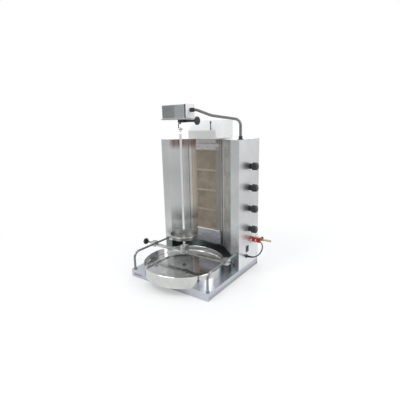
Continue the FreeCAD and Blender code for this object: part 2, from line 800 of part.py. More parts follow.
def make_side_panels():
    """Upright side sheets; the right one has the holes for the controls."""
    lengths = ("sheet_gauge", "base_depth / 2 - facet_y", "cabinet_top - sheet_gauge - base_height")
    keep(box("left_side_panel", lengths, ("-base_width / 2", "facet_y", "base_height")))

    blank = box("right_blank", lengths, ("base_width / 2 - sheet_gauge", "facet_y", "base_height"))
    inner = "base_width / 2 - sheet_gauge"
    holes = [
        rod(
            "stem_hole_%d" % (number + 1),
            "stem_radius + 2",
            "sheet_gauge",
            (inner, "knob_y", "knob_low + %d * knob_pitch" % number),
            X_AXIS,
        )
        for number in range(4)
    ]
    holes.append(
        rod("inlet_hole", "pipe_radius + 0.5", "sheet_gauge", (inner, "pipe_y", "inlet_height"), X_AXIS)
    )
    holes.append(
        rod("gland_hole", "gland_thread", "sheet_gauge", (inner, "gland_y", "gland_height"), X_AXIS)
    )
    holes.append(
        box(
            "switch_cutout",
            ("sheet_gauge", "switch_width", "switch_tall"),
            (inner, "switch_y - switch_width / 2", "switch_height - switch_tall / 2"),
        )
    )
    keep(cut("right_side_panel", blank, *holes))


def make_back_panel():
    """Rear sheet with a column of air slots."""
    panel = body("back_panel")
    face = sketch(panel, "face", "XZ_Plane")
    half = "base_width / 2 - sheet_gauge"
    rectangle(face, ("-(%s)" % half, "base_height"), (half, "cabinet_top - sheet_gauge"))
    pad(panel, face, "sheet_gauge")
    slot = sketch(panel, "slot", "XZ_Plane")
    rectangle(
        slot,
        ("-louvre_width / 2", "louvre_low"),
        ("louvre_width / 2", "louvre_low + louvre_height"),
    )
    cutter = pocket(panel, slot)
    doc.recompute()
    pattern = panel.newObject("PartDesign::LinearPattern", "back_slots")
    pattern.Originals = [cutter]
    pattern.Direction = (slot, ["V_Axis"])
    pattern.setExpression("Length", formula("louvre_pitch * (louvre_count - 1)"))
    pattern.setExpression("Occurrences", formula("louvre_count"))
    panel.Tip = pattern
    place(panel, ("0", "base_depth / 2", "0"))
    keep(panel)


def recess_corners():
    """Corners of the wings and jambs, from the left front face round to the right one."""
    inner = "base_width / 2 - facet_width"
    right = [
        (inner, "facet_y"),
        (inner + " - wing_run", "facet_y + wing_rise"),
        (inner + " - wing_run - jamb_run", "facet_y + wing_rise + jamb_rise"),
    ]
    left = [("-(%s)" % across, along) for across, along in right]
    return left + right[::-1]


def make_top_panel():
    """Top sheet, cut back round the recess, with the flue opening and the post's hole."""
    panel = body("top_panel")
    face = sketch(panel, "face", "XY_Plane")
    back_edge = [("base_width / 2", "base_depth / 2"), ("-base_width / 2", "base_depth / 2")]
    front_left = [("-base_width / 2", "facet_y")]
    front_right = [("base_width / 2", "facet_y")]
    outline(face, front_left + recess_corners() + front_right + back_edge)
    pad(panel, face, "sheet_gauge")
    openings = sketch(panel, "openings", "XY_Plane")
    flue_front = "facet_y + wing_rise + jamb_rise + 15"
    rectangle(
        openings,
        ("-flue_opening_width / 2", flue_front),
        ("flue_opening_width / 2", flue_front + " + flue_opening_depth"),
    )
    circle(openings, "post_x", "post_y", "sleeve_radius + 0.1")
    pocket(panel, openings)
    place(panel, ("0", "0", "cabinet_top - sheet_gauge"))
    keep(panel)


def make_wing(side, sign):
    """One folded sheet: narrow front face, slanting wing and jamb beside the fire."""
    inner = "base_width / 2 - facet_width"
    outside = [
        ("base_width / 2 - sheet_gauge", "facet_y"),
        (inner, "facet_y"),
        (inner + " - wing_run", "facet_y + wing_rise"),
        (inner + " - wing_run - jamb_run", "facet_y + wing_rise + jamb_rise"),
    ]
    # The hidden side of each fold, one gauge behind both of its faces.
    wing_fold = ("tan(wing_angle / 2)", "1")
    jamb_fold = (
        "(sin(wing_angle) + sin(jamb_angle)) / (1 + cos(wing_angle - jamb_angle))",
        "(cos(wing_angle) + cos(jamb_angle)) / (1 + cos(wing_angle - jamb_angle))",
    )
    edge = ("sin(jamb_angle)", "cos(jamb_angle)")
    hidden = [
        ("%s + sheet_gauge * %s" % (across, shift), "%s + sheet_gauge * %s" % (along, rise))
        for (across, along), (shift, rise) in zip(outside[1:], (wing_fold, jamb_fold, edge))
    ]
    corner = [("base_width / 2 - sheet_gauge", "facet_y + sheet_gauge")]
    corners = outside + hidden[::-1] + corner
    panel = body("wing_panel_" + side)
    fold = sketch(panel, "fold", "XY_Plane")
    outline(fold, [("%s(%s)" % (sign, across), along) for across, along in corners])
    pad(panel, fold, "cabinet_top - sheet_gauge - bay_top")
    place(panel, ("0", "0", "bay_top"))
    keep(panel)


def make_bay_liner():
    """Lining of the low bay: front flanges, side and rear walls, and the roof behind the wings."""
    liner = body("bay_liner")
    walls = sketch(liner, "walls", "XY_Plane", "base_height")
    side = "bay_side"
    edge = "base_width / 2 - sheet_gauge"
    outside = [
        (edge, "facet_y"),
        (side, "facet_y"),
        (side, "facet_y + bay_depth"),
        ("-" + side, "facet_y + bay_depth"),
        ("-" + side, "facet_y"),
        ("-(%s)" % edge, "facet_y"),
    ]
    far = side + " + sheet_gauge"
    hidden = [
        ("-(%s)" % edge, "facet_y + sheet_gauge"),
        ("-(%s)" % far, "facet_y + sheet_gauge"),
        ("-(%s)" % far, "facet_y + bay_depth + sheet_gauge"),
        (far, "facet_y + bay_depth + sheet_gauge"),
        (far, "facet_y + sheet_gauge"),
        (edge, "facet_y + sheet_gauge"),
    ]
    outline(walls, outside + hidden)
    pad(liner, walls, "bay_top - base_height - sheet_gauge")
    roof = sketch(liner, "roof", "XY_Plane", "bay_top - 2 * sheet_gauge")
    rear = [(far, "facet_y + bay_depth + sheet_gauge"), ("-(%s)" % far, "facet_y + bay_depth + sheet_gauge")]
    front_right = [(far, "facet_y")]
    front_left = [("-(%s)" % far, "facet_y")]
    outline(roof, front_left + recess_corners() + front_right + rear)
    pad(liner, roof, "sheet_gauge")
    keep(liner)


def make_header_and_skirt():
    """Sheets above and below the fire, between the jambs."""
    half = "base_width / 2 - facet_width - wing_run - jamb_run"
    face = "facet_y + wing_rise + jamb_rise"
    fire_top = "fire_low + 4 * burner_pitch"
    header = body("header_panel")
    section = sketch(header, "section", "YZ_Plane")
    raised = face + " - band_rise"
    outline(
        section,
        [
            (face + " + sheet_gauge", fire_top),
            (face + " + sheet_gauge", "cabinet_top - sheet_gauge"),
            (face, "cabinet_top - sheet_gauge"),
            (face, fire_top + " + 15 + header_band"),
            (raised, fire_top + " + 13 + header_band"),
            (raised, fire_top + " + 12"),
            (face, fire_top + " + 10"),
            (face, fire_top + " + 6"),
            (raised, fire_top + " + 5"),
            (raised, fire_top),
        ],
    )
    pad(header, section, "2 * (%s)" % half)
    place(header, ("-(%s)" % half, "0", "0"))
    keep(header)

    skirt = body("skirt_panel")
    section = sketch(skirt, "section", "YZ_Plane")
    ledge = face + " - ledge_depth"
    outline(
        section,
        [
            (face + " + sheet_gauge", "bay_top"),
            (face + " + sheet_gauge", "fire_low"),
            (ledge + " + 2", "fire_low"),
            (ledge, "fire_low - 2"),
            (ledge, "fire_low - ledge_height"),
            (face, "fire_low - ledge_height - 4"),
            (face, "bay_top"),
        ],
    )
    pad(skirt, section, "2 * (%s)" % half)
    place(skirt, ("-(%s)" % half, "0", "0"))
    keep(skirt)


# ---------------------------------------------------------------- fire and gas


def make_burners():
    """Four burner bodies, one above the other, each with its ceramic plaque and mixing tube."""
    left = "-(base_width / 2 - facet_width - wing_run - jamb_run)"
    face = "facet_y + wing_rise + jamb_rise"
    tiles = []
    bodies = []
    for number in range(4):
        low = "fire_low + %d * burner_pitch" % number
        tag = "_%d" % (number + 1)
        inside = ("burner_width - 2 * burner_wall", "burner_pitch - 2 * burner_border")
        tile_corner = (left + " + burner_wall", face + " + tile_setback", low + " + burner_border")
        tiles.append(box("tile" + tag, (inside[0], "tile_thickness", inside[1]), tile_corner))
        shell = box("burner_shell" + tag, ("burner_width", "burner_depth", "burner_pitch"), (left, face, low))
        window = box(
            "window" + tag,
            (inside[0], "tile_setback + tile_thickness", inside[1]),
            (left + " + burner_wall", face, low + " + burner_border"),
        )
        plenum = box(
            "plenum" + tag,
            (inside[0] + " - 4", "plenum_depth", inside[1] + " - 4"),
            (
                left + " + burner_wall + 2",
                face + " + tile_setback + tile_thickness",
                low + " + burner_border + 2",
            ),
        )
        right = left + " + burner_width"
        tube_start = (right, face + " + mixer_setback", "knob_low + %d * knob_pitch" % number)
        tube = rod("mixing_tube" + tag, "mixer_radius", "mixer_end - (%s)" % right, tube_start, X_AXIS)
        bore_start = (right + " - 2 * burner_wall", tube_start[1], tube_start[2])
        bore = rod(
            "mixing_bore" + tag,
            "mixer_bore",
            "mixer_end - (%s) + 2 * burner_wall" % right,
            bore_start,
            X_AXIS,
        )
        solid = join("burner_solid" + tag, shell, tube)
        bodies.append(cut("burner" + tag, solid, window, plenum, bore))
    keep(group("ceramic_tiles", *tiles))
    keep(group("burner_bodies", *bodies))

    right_jamb = "base_width / 2 - facet_width - wing_run - jamb_run"
    keep(
        box(
            "flash_strip",
            ("2 * (%s) - burner_width" % right_jamb, "strip_thickness", "4 * burner_pitch"),
            (left + " + burner_width", face, "fire_low"),
        )
    )


def make_gas_train():
    """Supply pipe with its inlet, four valves with jets, stems, bezels and push-and-turn knobs."""
    riser = rod("riser", "pipe_radius", "pipe_top - pipe_low", ("pipe_x", "pipe_y", "pipe_low"))
    inlet = rod("inlet", "pipe_radius", "inlet_end - pipe_x", ("pipe_x", "pipe_y", "inlet_height"), X_AXIS)
    keep(join("gas_manifold", riser, inlet))

    jet_y = "facet_y + wing_rise + jamb_rise + mixer_setback"
    valves = []
    bezels = []
    for number in range(4):
        tag = "_%d" % (number + 1)
        height = "knob_low + %d * knob_pitch" % number
        barrel = rod(
            "barrel" + tag,
            "valve_radius",
            "valve_outer - valve_inner",
            ("valve_inner", "knob_y", height),
            X_AXIS,
        )
        arm = box(
            "valve_arm" + tag,
            ("28", "pipe_y - pipe_radius - knob_y", "18"),
            ("valve_inner + 4", "knob_y", height + " - 9"),
        )
        jet = rod("jet" + tag, "jet_radius", "valve_inner - jet_end + 6", ("jet_end", jet_y, height), X_AXIS)
        bore = rod(
            "stem_bore" + tag,
            "stem_radius + running_gap",
            "valve_outer - stem_inner",
            ("stem_inner", "knob_y", height),
            X_AXIS,
        )
        valves.append(cut("valve" + tag, join("valve_solid" + tag, barrel, arm, jet), bore))

        ring_start = ("base_width / 2", "knob_y", height)
        ring = rod("ring" + tag, "bezel_radius", "bezel_depth", ring_start, X_AXIS)
        hole = rod("ring_hole" + tag, "bezel_hole", "bezel_depth", ring_start, X_AXIS)
        bezels.append(cut("bezel" + tag, ring, hole))

        keep(
            rod(
                "valve_stem" + tag,
                "stem_radius",
                "stem_outer - stem_inner",
                ("stem_inner", "knob_y", height),
                X_AXIS,
            )
        )
        make_gas_knob("gas_knob" + tag, height)
    keep(group("gas_valves", *valves))
    keep(group("knob_bezels", *bezels))


def make_gas_knob(name, height):
    """Fluted grip with a neck; the stem sits in its blind bore."""
    neck_end = "0"
    grip = "knob_gap - knob_rest_gap"
    bore = "stem_outer - base_width / 2 - knob_rest_gap + 6"
    profile = [
        ("stem_radius + running_gap", neck_end),
        ("knob_neck", neck_end),
        ("knob_neck", grip),
        ("knob_radius - 1", grip),
        ("knob_radius", grip + " + 1.5"),
        ("knob_radius - 1", grip + " + knob_depth - 5"),
        ("knob_radius - 5", grip + " + knob_depth - 1"),
        ("0", grip + " + knob_depth"),
        ("0", bore),
        ("stem_radius + running_gap", bore),
    ]
    knob = turned(name, profile, ("base_width / 2 + knob_rest_gap", "knob_y", height), X_AXIS)
    flute(knob, "knob_radius + 1.6", "3.4", 12)
    keep(knob)


def make_inlet_cock():
    """Brass cock screwed on the inlet, with a hose tail and a butterfly lever."""
    body_length = "cock_end - inlet_end"
    profile = [
        ("0", "0"),
        ("cock_radius", "0"),
        ("cock_radius", "6"),
        ("cock_radius - 1.5", "7"),
        ("cock_radius - 1.5", "lever_x - inlet_end - 9"),
        ("cock_ball", "lever_x - inlet_end - 6"),
        ("cock_ball", "lever_x - inlet_end + 6"),
        ("cock_radius - 1.5", "lever_x - inlet_end + 9"),
        ("cock_radius - 1.5", body_length + " - 7"),
        ("cock_radius", body_length + " - 6"),
        ("cock_radius", body_length),
        ("tail_radius + 2.5", body_length),
        ("tail_radius + 2.5", body_length + " + 4"),
        ("tail_radius", body_length + " + 4"),
        ("tail_radius", "tail_end - inlet_end"),
        ("0", "tail_end - inlet_end"),
    ]
    casting = turned("cock_casting", profile, ("inlet_end", "pipe_y", "inlet_height"), X_AXIS)
    stem_start = ("lever_x", "pipe_y - 3", "inlet_height")
    bore = rod("lever_bore", "lever_stem + running_gap", "cock_ball", stem_start, -Y_AXIS)
    keep(cut("gas_cock", casting, bore))

    hub_start = ("lever_x", "pipe_y - lever_face", "inlet_height")
    stem = rod("lever_shaft", "lever_stem", "lever_face - 2", stem_start, -Y_AXIS)
    hub = rod("lever_boss", "lever_hub", "lever_thickness + 2", hub_start, -Y_AXIS)
    wings = body("lever_wings")
    bow_tie = sketch(wings, "bow_tie", "XZ_Plane")
    outline(
        bow_tie,
        [
            ("0", "0"),
            ("lever_reach", "lever_tip - lever_waist"),
            ("2 * lever_reach", "0"),
            ("2 * lever_reach", "2 * lever_tip"),
            ("lever_reach", "lever_tip + lever_waist"),
            ("0", "2 * lever_tip"),
        ],
    )
    pad(wings, bow_tie, "lever_thickness")
    place(wings, ("lever_x - lever_reach", "pipe_y - lever_face", "inlet_height - lever_tip"))
    keep(join("cock_lever", stem, hub, wings))


# ---------------------------------------------------------------- flue


def make_hood():
    """Open-bottomed flue hood with a sloping face, an outlet in its back and the damper inside."""
    back = "base_depth / 2"
    top = "hood_step + hood_run * tan(hood_angle)"
    hood = body("flue_hood")
    section = sketch(hood, "section", "YZ_Plane")
    outline(
        section,
        [
            ("hood_front", "hood_low"),
            ("hood_front", "hood_step"),
            ("hood_front + hood_run", top),
            (back, top),
            (back, "hood_low"),
        ],
    )
    pad(hood, section, "2 * hood_half_width")
    inside = sketch(hood, "inside", "YZ_Plane", "sheet_gauge")
    step_drop = "sheet_gauge * cos(hood_angle) / (1 + sin(hood_angle))"
    crest_shift = "sheet_gauge * sin(hood_angle) / (1 + cos(hood_angle))"
    outline(
        inside,
        [
            ("hood_front + sheet_gauge", "hood_low"),
            ("hood_front + sheet_gauge", "hood_step - " + step_drop),
            ("hood_front + hood_run + " + crest_shift, top + " - sheet_gauge"),
            (back + " - sheet_gauge", top + " - sheet_gauge"),
            (back + " - sheet_gauge", "hood_low"),
        ],
    )
    pocket(hood, inside, "2 * hood_half_width - 2 * sheet_gauge")
    outlet = sketch(hood, "outlet", "XZ_Plane", "-(%s)" % back)
    rectangle(
        outlet,
        ("hood_half_width - outlet_half_width", "outlet_low"),
        ("hood_half_width + outlet_half_width", "outlet_low + outlet_height"),
    )
    pocket(hood, outlet, "sheet_gauge")
    rod_hole = sketch(hood, "rod_hole", "XY_Plane", "hood_step")
    circle(rod_hole, "hood_half_width + damper_x", "damper_y", "damper_radius + 0.5")
    pocket(hood, rod_hole)
    place(hood, ("-hood_half_width", "0", "0"))
    keep(hood)

    stalk = turned(
        "damper_stalk",
        [
            ("0", "damper_low"),
            ("damper_radius", "damper_low"),
            ("damper_radius", "damper_top"),
            ("damper_tip_radius", "damper_top"),
            ("damper_tip_radius", "damper_top + damper_tip - 2"),
            ("damper_tip_radius - 2", "damper_top + damper_tip"),
            ("0", "damper_top + damper_tip"),
        ],
        ("damper_x", "damper_y", "0"),
    )
    plate = box(
        "damper_plate",
        ("2 * damper_half_width", "damper_depth", "sheet_gauge"),
        ("-damper_half_width", "hood_front + 2 * sheet_gauge", "damper_low"),
    )
    keep(join("damper_rod", stalk, plate))


# ---------------------------------------------------------------- swing arm and drive


def arm_point(reach, height):
    """Point in the upright plane through the post and the motor case."""
    post = FreeCAD.Vector(size("post_x"), size("post_y"), height)
    target = FreeCAD.Vector(size("case_right"), size("bar_y") + 7, height)
    return post + (target - post).normalize() * reach


def make_arm():
    """Post collar with its bearing sleeve, bent arm tube, and the dark end fitting."""
    collar = [
        ("arm_radius + running_gap", "arm_bearing"),
        ("sleeve_radius", "arm_bearing"),
        ("sleeve_radius", "cabinet_top"),
        ("collar_flange", "cabinet_top"),
        ("collar_flange", "cabinet_top + 3"),
        ("post_collar_radius", "cabinet_top + 3"),
        ("post_collar_radius", "cabinet_top + post_collar_height - 2"),
        ("post_collar_radius - 2", "cabinet_top + post_collar_height"),
        ("arm_radius + running_gap", "cabinet_top + post_collar_height"),
    ]
    keep(turned("post_collar", collar, ("post_x", "post_y", "0")))

    route = [
        arm_point(0, size("post_foot")),
        arm_point(0, size("arm_bend_height")),
        arm_point(size("arm_middle_reach"), size("arm_middle_height")),
        arm_point(size("arm_far_reach"), size("arm_far_height")),
        arm_point(size("arm_reach"), size("arm_far_height")),
    ]
    bends = [size("post_bend"), size("middle_bend"), size("far_bend")]
    keep(feature("arm_tube", round_sweep(rounded_route(route, bends), size("arm_radius"))))

    free_end = arm_point(size("socket_reach"), size("arm_far_height"))
    case_end = arm_point(size("arm_box_reach") + 10, size("arm_far_height"))
    along = case_end - free_end
    outside = Part.makeCylinder(size("socket_radius"), along.Length, free_end, along)
    bore = Part.makeCylinder(
        size("arm_radius"), size("arm_reach") - size("socket_reach"), free_end, along
    )
    case_side = Part.makeBox(100, 100, 100, FreeCAD.Vector(size("case_right") - 100, -120, 800))
    keep(feature("arm_socket", outside.cut([bore, case_side])))


def make_motor_case():
    """Case open to the right, its end cover, and the flange plate that carries both."""
    case_depth = "case_back - case_front"
    case_height = "case_top - case_low"
    seam = "case_right - sheet_gauge - cover_gap"
    outer = box(
        "case_blank",
        (seam + " - case_left", case_depth, case_height),
        ("case_left", "case_front", "case_low"),
    )
    hollow = box(
        "case_hollow",
        (
            seam + " - case_left - sheet_gauge",
            case_depth + " - 2 * sheet_gauge",
            case_height + " - sheet_gauge",
        ),
        ("case_left + sheet_gauge", "case_front + sheet_gauge", "case_low"),
    )
    keep(cut("motor_case", outer, hollow))
    keep(
        box(
            "motor_end_cover",
            ("sheet_gauge", case_depth, case_height),
            ("case_right - sheet_gauge", "case_front", "case_low"),
        )
    )
    plate = box(
        "flange_blank",
        (
            "case_right - case_left + 2 * flange_margin",
            case_depth + " + 2 * flange_margin",
            "flange_plate",
        ),
        ("case_left - flange_margin", "case_front - flange_margin", "case_low - flange_plate"),
    )
    hole = rod(
        "flange_bore",
        "shaft_radius + running_gap",
        "flange_plate",
        ("spit_x", "bar_y", "case_low - flange_plate"),
    )
    keep(cut("motor_flange", plate, hole))


def involute_point(base_radius, radius, centre_angle, side):
    """Point of a tooth flank at `radius`; side is -1 or 1 about the tooth's middle."""
    roll = math.sqrt(max(0.0, (radius / base_radius) ** 2 - 1))
    angle = centre_angle + side * (roll - math.atan(roll))
    return FreeCAD.Vector(radius * math.cos(angle), radius * math.sin(angle), 0)


def gear_face(teeth, first_tooth):
    """Spur gear outline with stub involute teeth, the first tooth centred at an angle in radians."""
    module = size("gear_module")
    pressure = math.radians(20)
    pitch_radius = module * teeth / 2
    base_radius = pitch_radius * math.cos(pressure)
    tip_radius = pitch_radius + 0.8 * module
    root_radius = pitch_radius - 1.05 * module
    thickness = math.pi * module / 2 - size("tooth_backlash")
    half_base = thickness / (2 * pitch_radius) + math.tan(pressure) - pressure
    flank_start = max(base_radius, root_radius + 0.1)
    flank = [flank_start + (tip_radius - flank_start) * step / 5 for step in range(6)]
    points = []
    for number in range(teeth):
        middle = first_tooth + 2 * math.pi * number / teeth
        low_side = middle - half_base
        high_side = middle + half_base
        points.append(FreeCAD.Vector(math.cos(low_side), math.sin(low_side), 0) * root_radius)
        points += [involute_point(base_radius, radius, low_side, 1) for radius in flank]
        points += [involute_point(base_radius, radius, high_side, -1) for radius in flank[::-1]]
        points.append(FreeCAD.Vector(math.cos(high_side), math.sin(high_side), 0) * root_radius)
    return Part.Face(Part.makePolygon(points + points[:1]))


def make_gears():
    """Pinion on the motor's shaft, in mesh with the gear wheel on the output shaft."""
    wheel_teeth = int(size("gear_teeth"))
    pinion_teeth = int(size("pinion_teeth"))
    axis = FreeCAD.Vector(size("spit_x"), size("bar_y"), size("gear_low"))
    wheel = gear_face(wheel_teeth, math.pi).extrude(UP * size("gear_width"))
    bore = Part.makeCylinder(size("shaft_radius"), size("gear_width"))
    keep(feature("drive_gear", wheel.cut(bore), axis))

    half_gap = math.pi / pinion_teeth
    pinion = gear_face(pinion_teeth, half_gap).extrude(UP * size("pinion_width"))
    shaft_top = size("bearing_low") + size("bearing_plate") + 8 - size("gear_low") + 1
    shaft = Part.makeCylinder(size("pinion_shaft"), shaft_top)
    pinion_axis = axis - X_AXIS * centre_distance() - UP
    keep(feature("motor_pinion", pinion.fuse(shaft), pinion_axis))


def centre_distance():
    """Distance between the axes of the two gears."""
    return size("gear_module") * (size("gear_teeth") + size("pinion_teeth")) / 2


def make_gear_motor():
    """Geared motor on a bearing plate that stands on four pillars."""
    plate = box(
        "bearing_blank",
        ("bearing_right - bearing_left", "2 * bearing_half_depth", "bearing_plate"),
        ("bearing_left", "bar_y - bearing_half_depth", "bearing_low"),
    )
    motor_x = "spit_x - gear_module * (gear_teeth + pinion_teeth) / 2"
    can = turned(
        "motor_can",
        [
            ("0", "0"),
            ("motor_radius", "0"),
            ("motor_radius", "motor_height - 4"),
            ("motor_radius - 4", "motor_height"),
            ("0", "motor_height"),
        ],
        (motor_x, "bar_y", "bearing_low + bearing_plate"),
    )
    pillars = [
        rod(
            "pillar_%d" % number,
            "pillar_radius",
            "bearing_low - case_low",
            (across, "bar_y %s (bearing_half_depth - pillar_inset)" % sign, "case_low"),
        )
        for number, (across, sign) in enumerate(
            (
                ("bearing_left + pillar_inset", "-"),
                ("bearing_left + pillar_inset", "+"),
                ("bearing_right - pillar_inset", "-"),
                ("bearing_right - pillar_inset", "+"),
            ),
            start=1,
        )
    ]
    shaft_hole = rod(
        "upper_bearing",
        "shaft_radius + running_gap",
        "bearing_plate",
        ("spit_x", "bar_y", "bearing_low"),
    )
    rotor_hole = rod(
        "rotor_bore",
        "pinion_shaft + running_gap",
        "bearing_plate + 10",
        (motor_x, "bar_y", "bearing_low"),
    )
    keep(cut("gear_motor", join("motor_solid", plate, can, *pillars), shaft_hole, rotor_hole))


def make_drive_hook():
    """Output shaft with the C-shaped hook that turns the spit by its eye."""
    across = size("spit_x")
    along = size("bar_y")
    top = size("hook_top")
    low = size("eye_height")
    upright = across - size("hook_offset")
    route = [
        FreeCAD.Vector(across, along, top),
        FreeCAD.Vector(upright, along, top),
        FreeCAD.Vector(upright, along, low),
        FreeCAD.Vector(across + size("hook_reach"), along, low),
    ]
    hook = round_sweep(rounded_route(route, [size("hook_bend")] * 2), size("hook_radius"))
    shaft = Part.makeCylinder(
        size("shaft_radius"),
        size("shaft_top") - size("shaft_low") + 2,
        FreeCAD.Vector(across, along, size("shaft_low") - 2),
    )
    keep(feature("drive_hook", shaft.fuse(hook)))


def make_lock():
    """Shaft housing with its side sleeve, and the star knob whose screw locks the shaft."""
    block = box(
        "housing_blank",
        ("housing_right - housing_left", "housing_depth", "case_low - flange_plate - housing_low"),
        ("housing_left", "bar_y - housing_depth / 2", "housing_low"),
    )
    sleeve = rod(
        "lock_sleeve",
        "lock_sleeve_radius",
        "lock_sleeve_end - housing_right",
        ("housing_right", "bar_y", "lock_height"),
        X_AXIS,
    )
    shaft_bore = rod(
        "housing_bore",
        "shaft_radius + running_gap",
        "case_low - flange_plate - housing_low",
        ("spit_x", "bar_y", "housing_low"),
    )
    screw_bore = rod(
        "lock_bore",
        "lock_screw_radius + running_gap",
        "lock_sleeve_end - spit_x",
        ("spit_x", "bar_y", "lock_height"),
        X_AXIS,
    )
    keep(cut("lock_bar", join("lock_solid", block, sleeve), shaft_bore, screw_bore))

    tip = "spit_x + shaft_radius + 0.3"
    face = "lock_knob_left - (%s)" % tip
    profile = [
        ("0", "0"),
        ("lock_screw_radius", "0"),
        ("lock_screw_radius", face),
        ("lock_knob_radius - 9", face),
        ("lock_knob_radius", face + " + 3"),
        ("lock_knob_radius", face + " + lock_knob_depth - 4"),
        ("lock_knob_radius - 3", face + " + lock_knob_depth - 1"),
        ("0", face + " + lock_knob_depth"),
    ]
    knob = turned("lock_knob", profile, (tip, "bar_y", "lock_height"), X_AXIS)
    flute(knob, "lock_knob_radius + 2", "5.5", 8)
    keep(knob)


# ---------------------------------------------------------------- electrics


def make_switch():
    """Switch body snapped in the right panel, and its rocker on two pins."""
    panel_face = "base_width / 2"
    bezel = box(
        "switch_bezel",
        ("bezel_rise", "bezel_width", "bezel_height"),
        (panel_face, "switch_y - bezel_width / 2", "switch_height - bezel_height / 2"),
    )
    inner = box(
        "switch_inner",
        ("switch_depth", "switch_width", "switch_tall"),
        (
            panel_face + " - switch_depth",
            "switch_y - switch_width / 2",
            "switch_height - switch_tall / 2",
        ),
    )
    cavity = box(
        "switch_cavity",
        ("rocker_cavity_depth", "rocker_cavity_width", "rocker_cavity_tall"),
        (
            panel_face + " + bezel_rise - rocker_cavity_depth",
            "switch_y - rocker_cavity_width / 2",
            "switch_height - rocker_cavity_tall / 2",
        ),
    )
    pin_start = ("rocker_axis", "switch_y - trunnion_length / 2", "switch_height")
    sockets = rod(
        "trunnion_sockets", "trunnion_radius + running_gap", "trunnion_length", pin_start, Y_AXIS
    )
    keep(cut("switch_body", join("switch_solid", bezel, inner), cavity, sockets))

    paddle = body("paddle")
    section = sketch(paddle, "section", "XZ_Plane")
    outline(section, [("-4", "-5"), ("4.5", "-12"), ("2.2", "0"), ("4.5", "12"), ("-4", "5")])
    pad(paddle, section, "rocker_width")
    place(paddle, ("rocker_axis", "switch_y + rocker_width / 2", "switch_height"))
    paddle.Placement.Rotation = FreeCAD.Rotation(Y_AXIS, -size("rocker_tilt"))
    pins = rod("trunnions", "trunnion_radius", "trunnion_length", pin_start, Y_AXIS)
    keep(join("rocker", paddle, pins))


def make_gland():
    """Cable gland through the right panel, with a tapered bend relief."""
    nut = "base_width / 2"
    profile = [
        ("0", nut + " - 14"),
        ("gland_thread", nut + " - 14"),
        ("gland_thread", nut + " - sheet_gauge - 6"),
        ("gland_nut", nut + " - sheet_gauge - 6"),
        ("gland_nut", nut + " - sheet_gauge"),
        ("gland_thread", nut + " - sheet_gauge"),
        ("gland_thread", nut),
        ("gland_nut", nut),
        ("gland_nut", nut + " + 5"),
        ("gland_thread", nut + " + 6.5"),
        ("lead_radius + 2.4", nut + " + 8"),
        ("lead_radius + 1", "gland_tip"),
        ("0", "gland_tip"),
    ]
    keep(turned("cable_gland", profile, ("0", "gland_y", "gland_height"), X_AXIS))


def make_lead():
    """Mains lead down to the floor, its stored coil, the plug, and the clip on the cabinet's back."""
    points = [FreeCAD.Vector(*point) for point in LEAD_ROUTE]
    bends = []
    for number in range(1, len(points) - 1):
        back = points[number - 1] - points[number]
        ahead = points[number + 1] - points[number]
        half_turn = (math.pi - back.getAngle(ahead)) / 2
        bends.append(0.45 * min(back.Length, ahead.Length) / math.tan(half_turn))
    print("bend radii of the lead:", " ".join("%.0f" % radius for radius in bends))
    wire = rounded_route(points, bends)
    lead = round_sweep(wire, size("lead_radius"))
    section = math.pi * size("lead_radius") ** 2
    print("lead: %.1f mm, volume over section times length %.4f" % (
        wire.Length, lead.Volume / (section * wire.Length)))
    keep(feature("power_cable", lead))

    radius = size("lead_radius")
    outer_turn = size("coil_outer_turn")
    columns = size("coil_columns")
    height = 2 * radius * size("coil_layers")
    centre = FreeCAD.Vector(size("coil_x"), size("coil_y"), 0)
    outside = Part.makeCylinder(outer_turn + radius, height, centre)
    inside = Part.makeCylinder(outer_turn + radius - 2 * radius * columns, height, centre)
    low_turn = centre + FreeCAD.Vector(0, -outer_turn, radius)
    top_turn = centre + FreeCAD.Vector(0, -outer_turn, height - radius)
    plug_end = FreeCAD.Vector(size("plug_right"), top_turn.y, size("plug_height"))
    entry = Part.makeCylinder(radius, size("coil_stub_end") - low_turn.x, low_turn, X_AXIS)
    tail = Part.makeCylinder(radius, (plug_end - top_turn).Length, top_turn, plug_end - top_turn)
    keep(feature("cable_coil", outside.cut(inside).fuse([entry, tail])))

    make_plug()
    make_clip()


def make_plug():
    """Round two-pin plug that lies on the floor beside the coil."""
    plug_y = "coil_y - coil_outer_turn"
    face = "plug_relief + plug_body"
    grip = turned(
        "plug_grip",
        [
            ("0", "0"),
            ("lead_radius + 1", "0"),
            ("lead_radius + 3.5", "plug_relief"),
            ("plug_height - 5", "plug_relief + 5"),
            ("plug_height - 1.5", "plug_relief + 14"),
            ("plug_height - 1.5", face + " - 12"),
            ("plug_height", face + " - 10"),
            ("plug_height", face),
            ("0", face),
        ],
        ("plug_right", plug_y, "plug_height"),
        -X_AXIS,
    )
    pins = [
        rod(
            "plug_pin_" + side,
            "plug_pin_radius",
            "plug_pin_length + 4",
            ("plug_right - (%s) + 4" % face, plug_y + sign + "plug_pin_spacing / 2", "plug_height"),
            -X_AXIS,
        )
        for side, sign in (("front", " - "), ("rear", " + "))
    ]
    keep(join("mains_plug", grip, *pins))


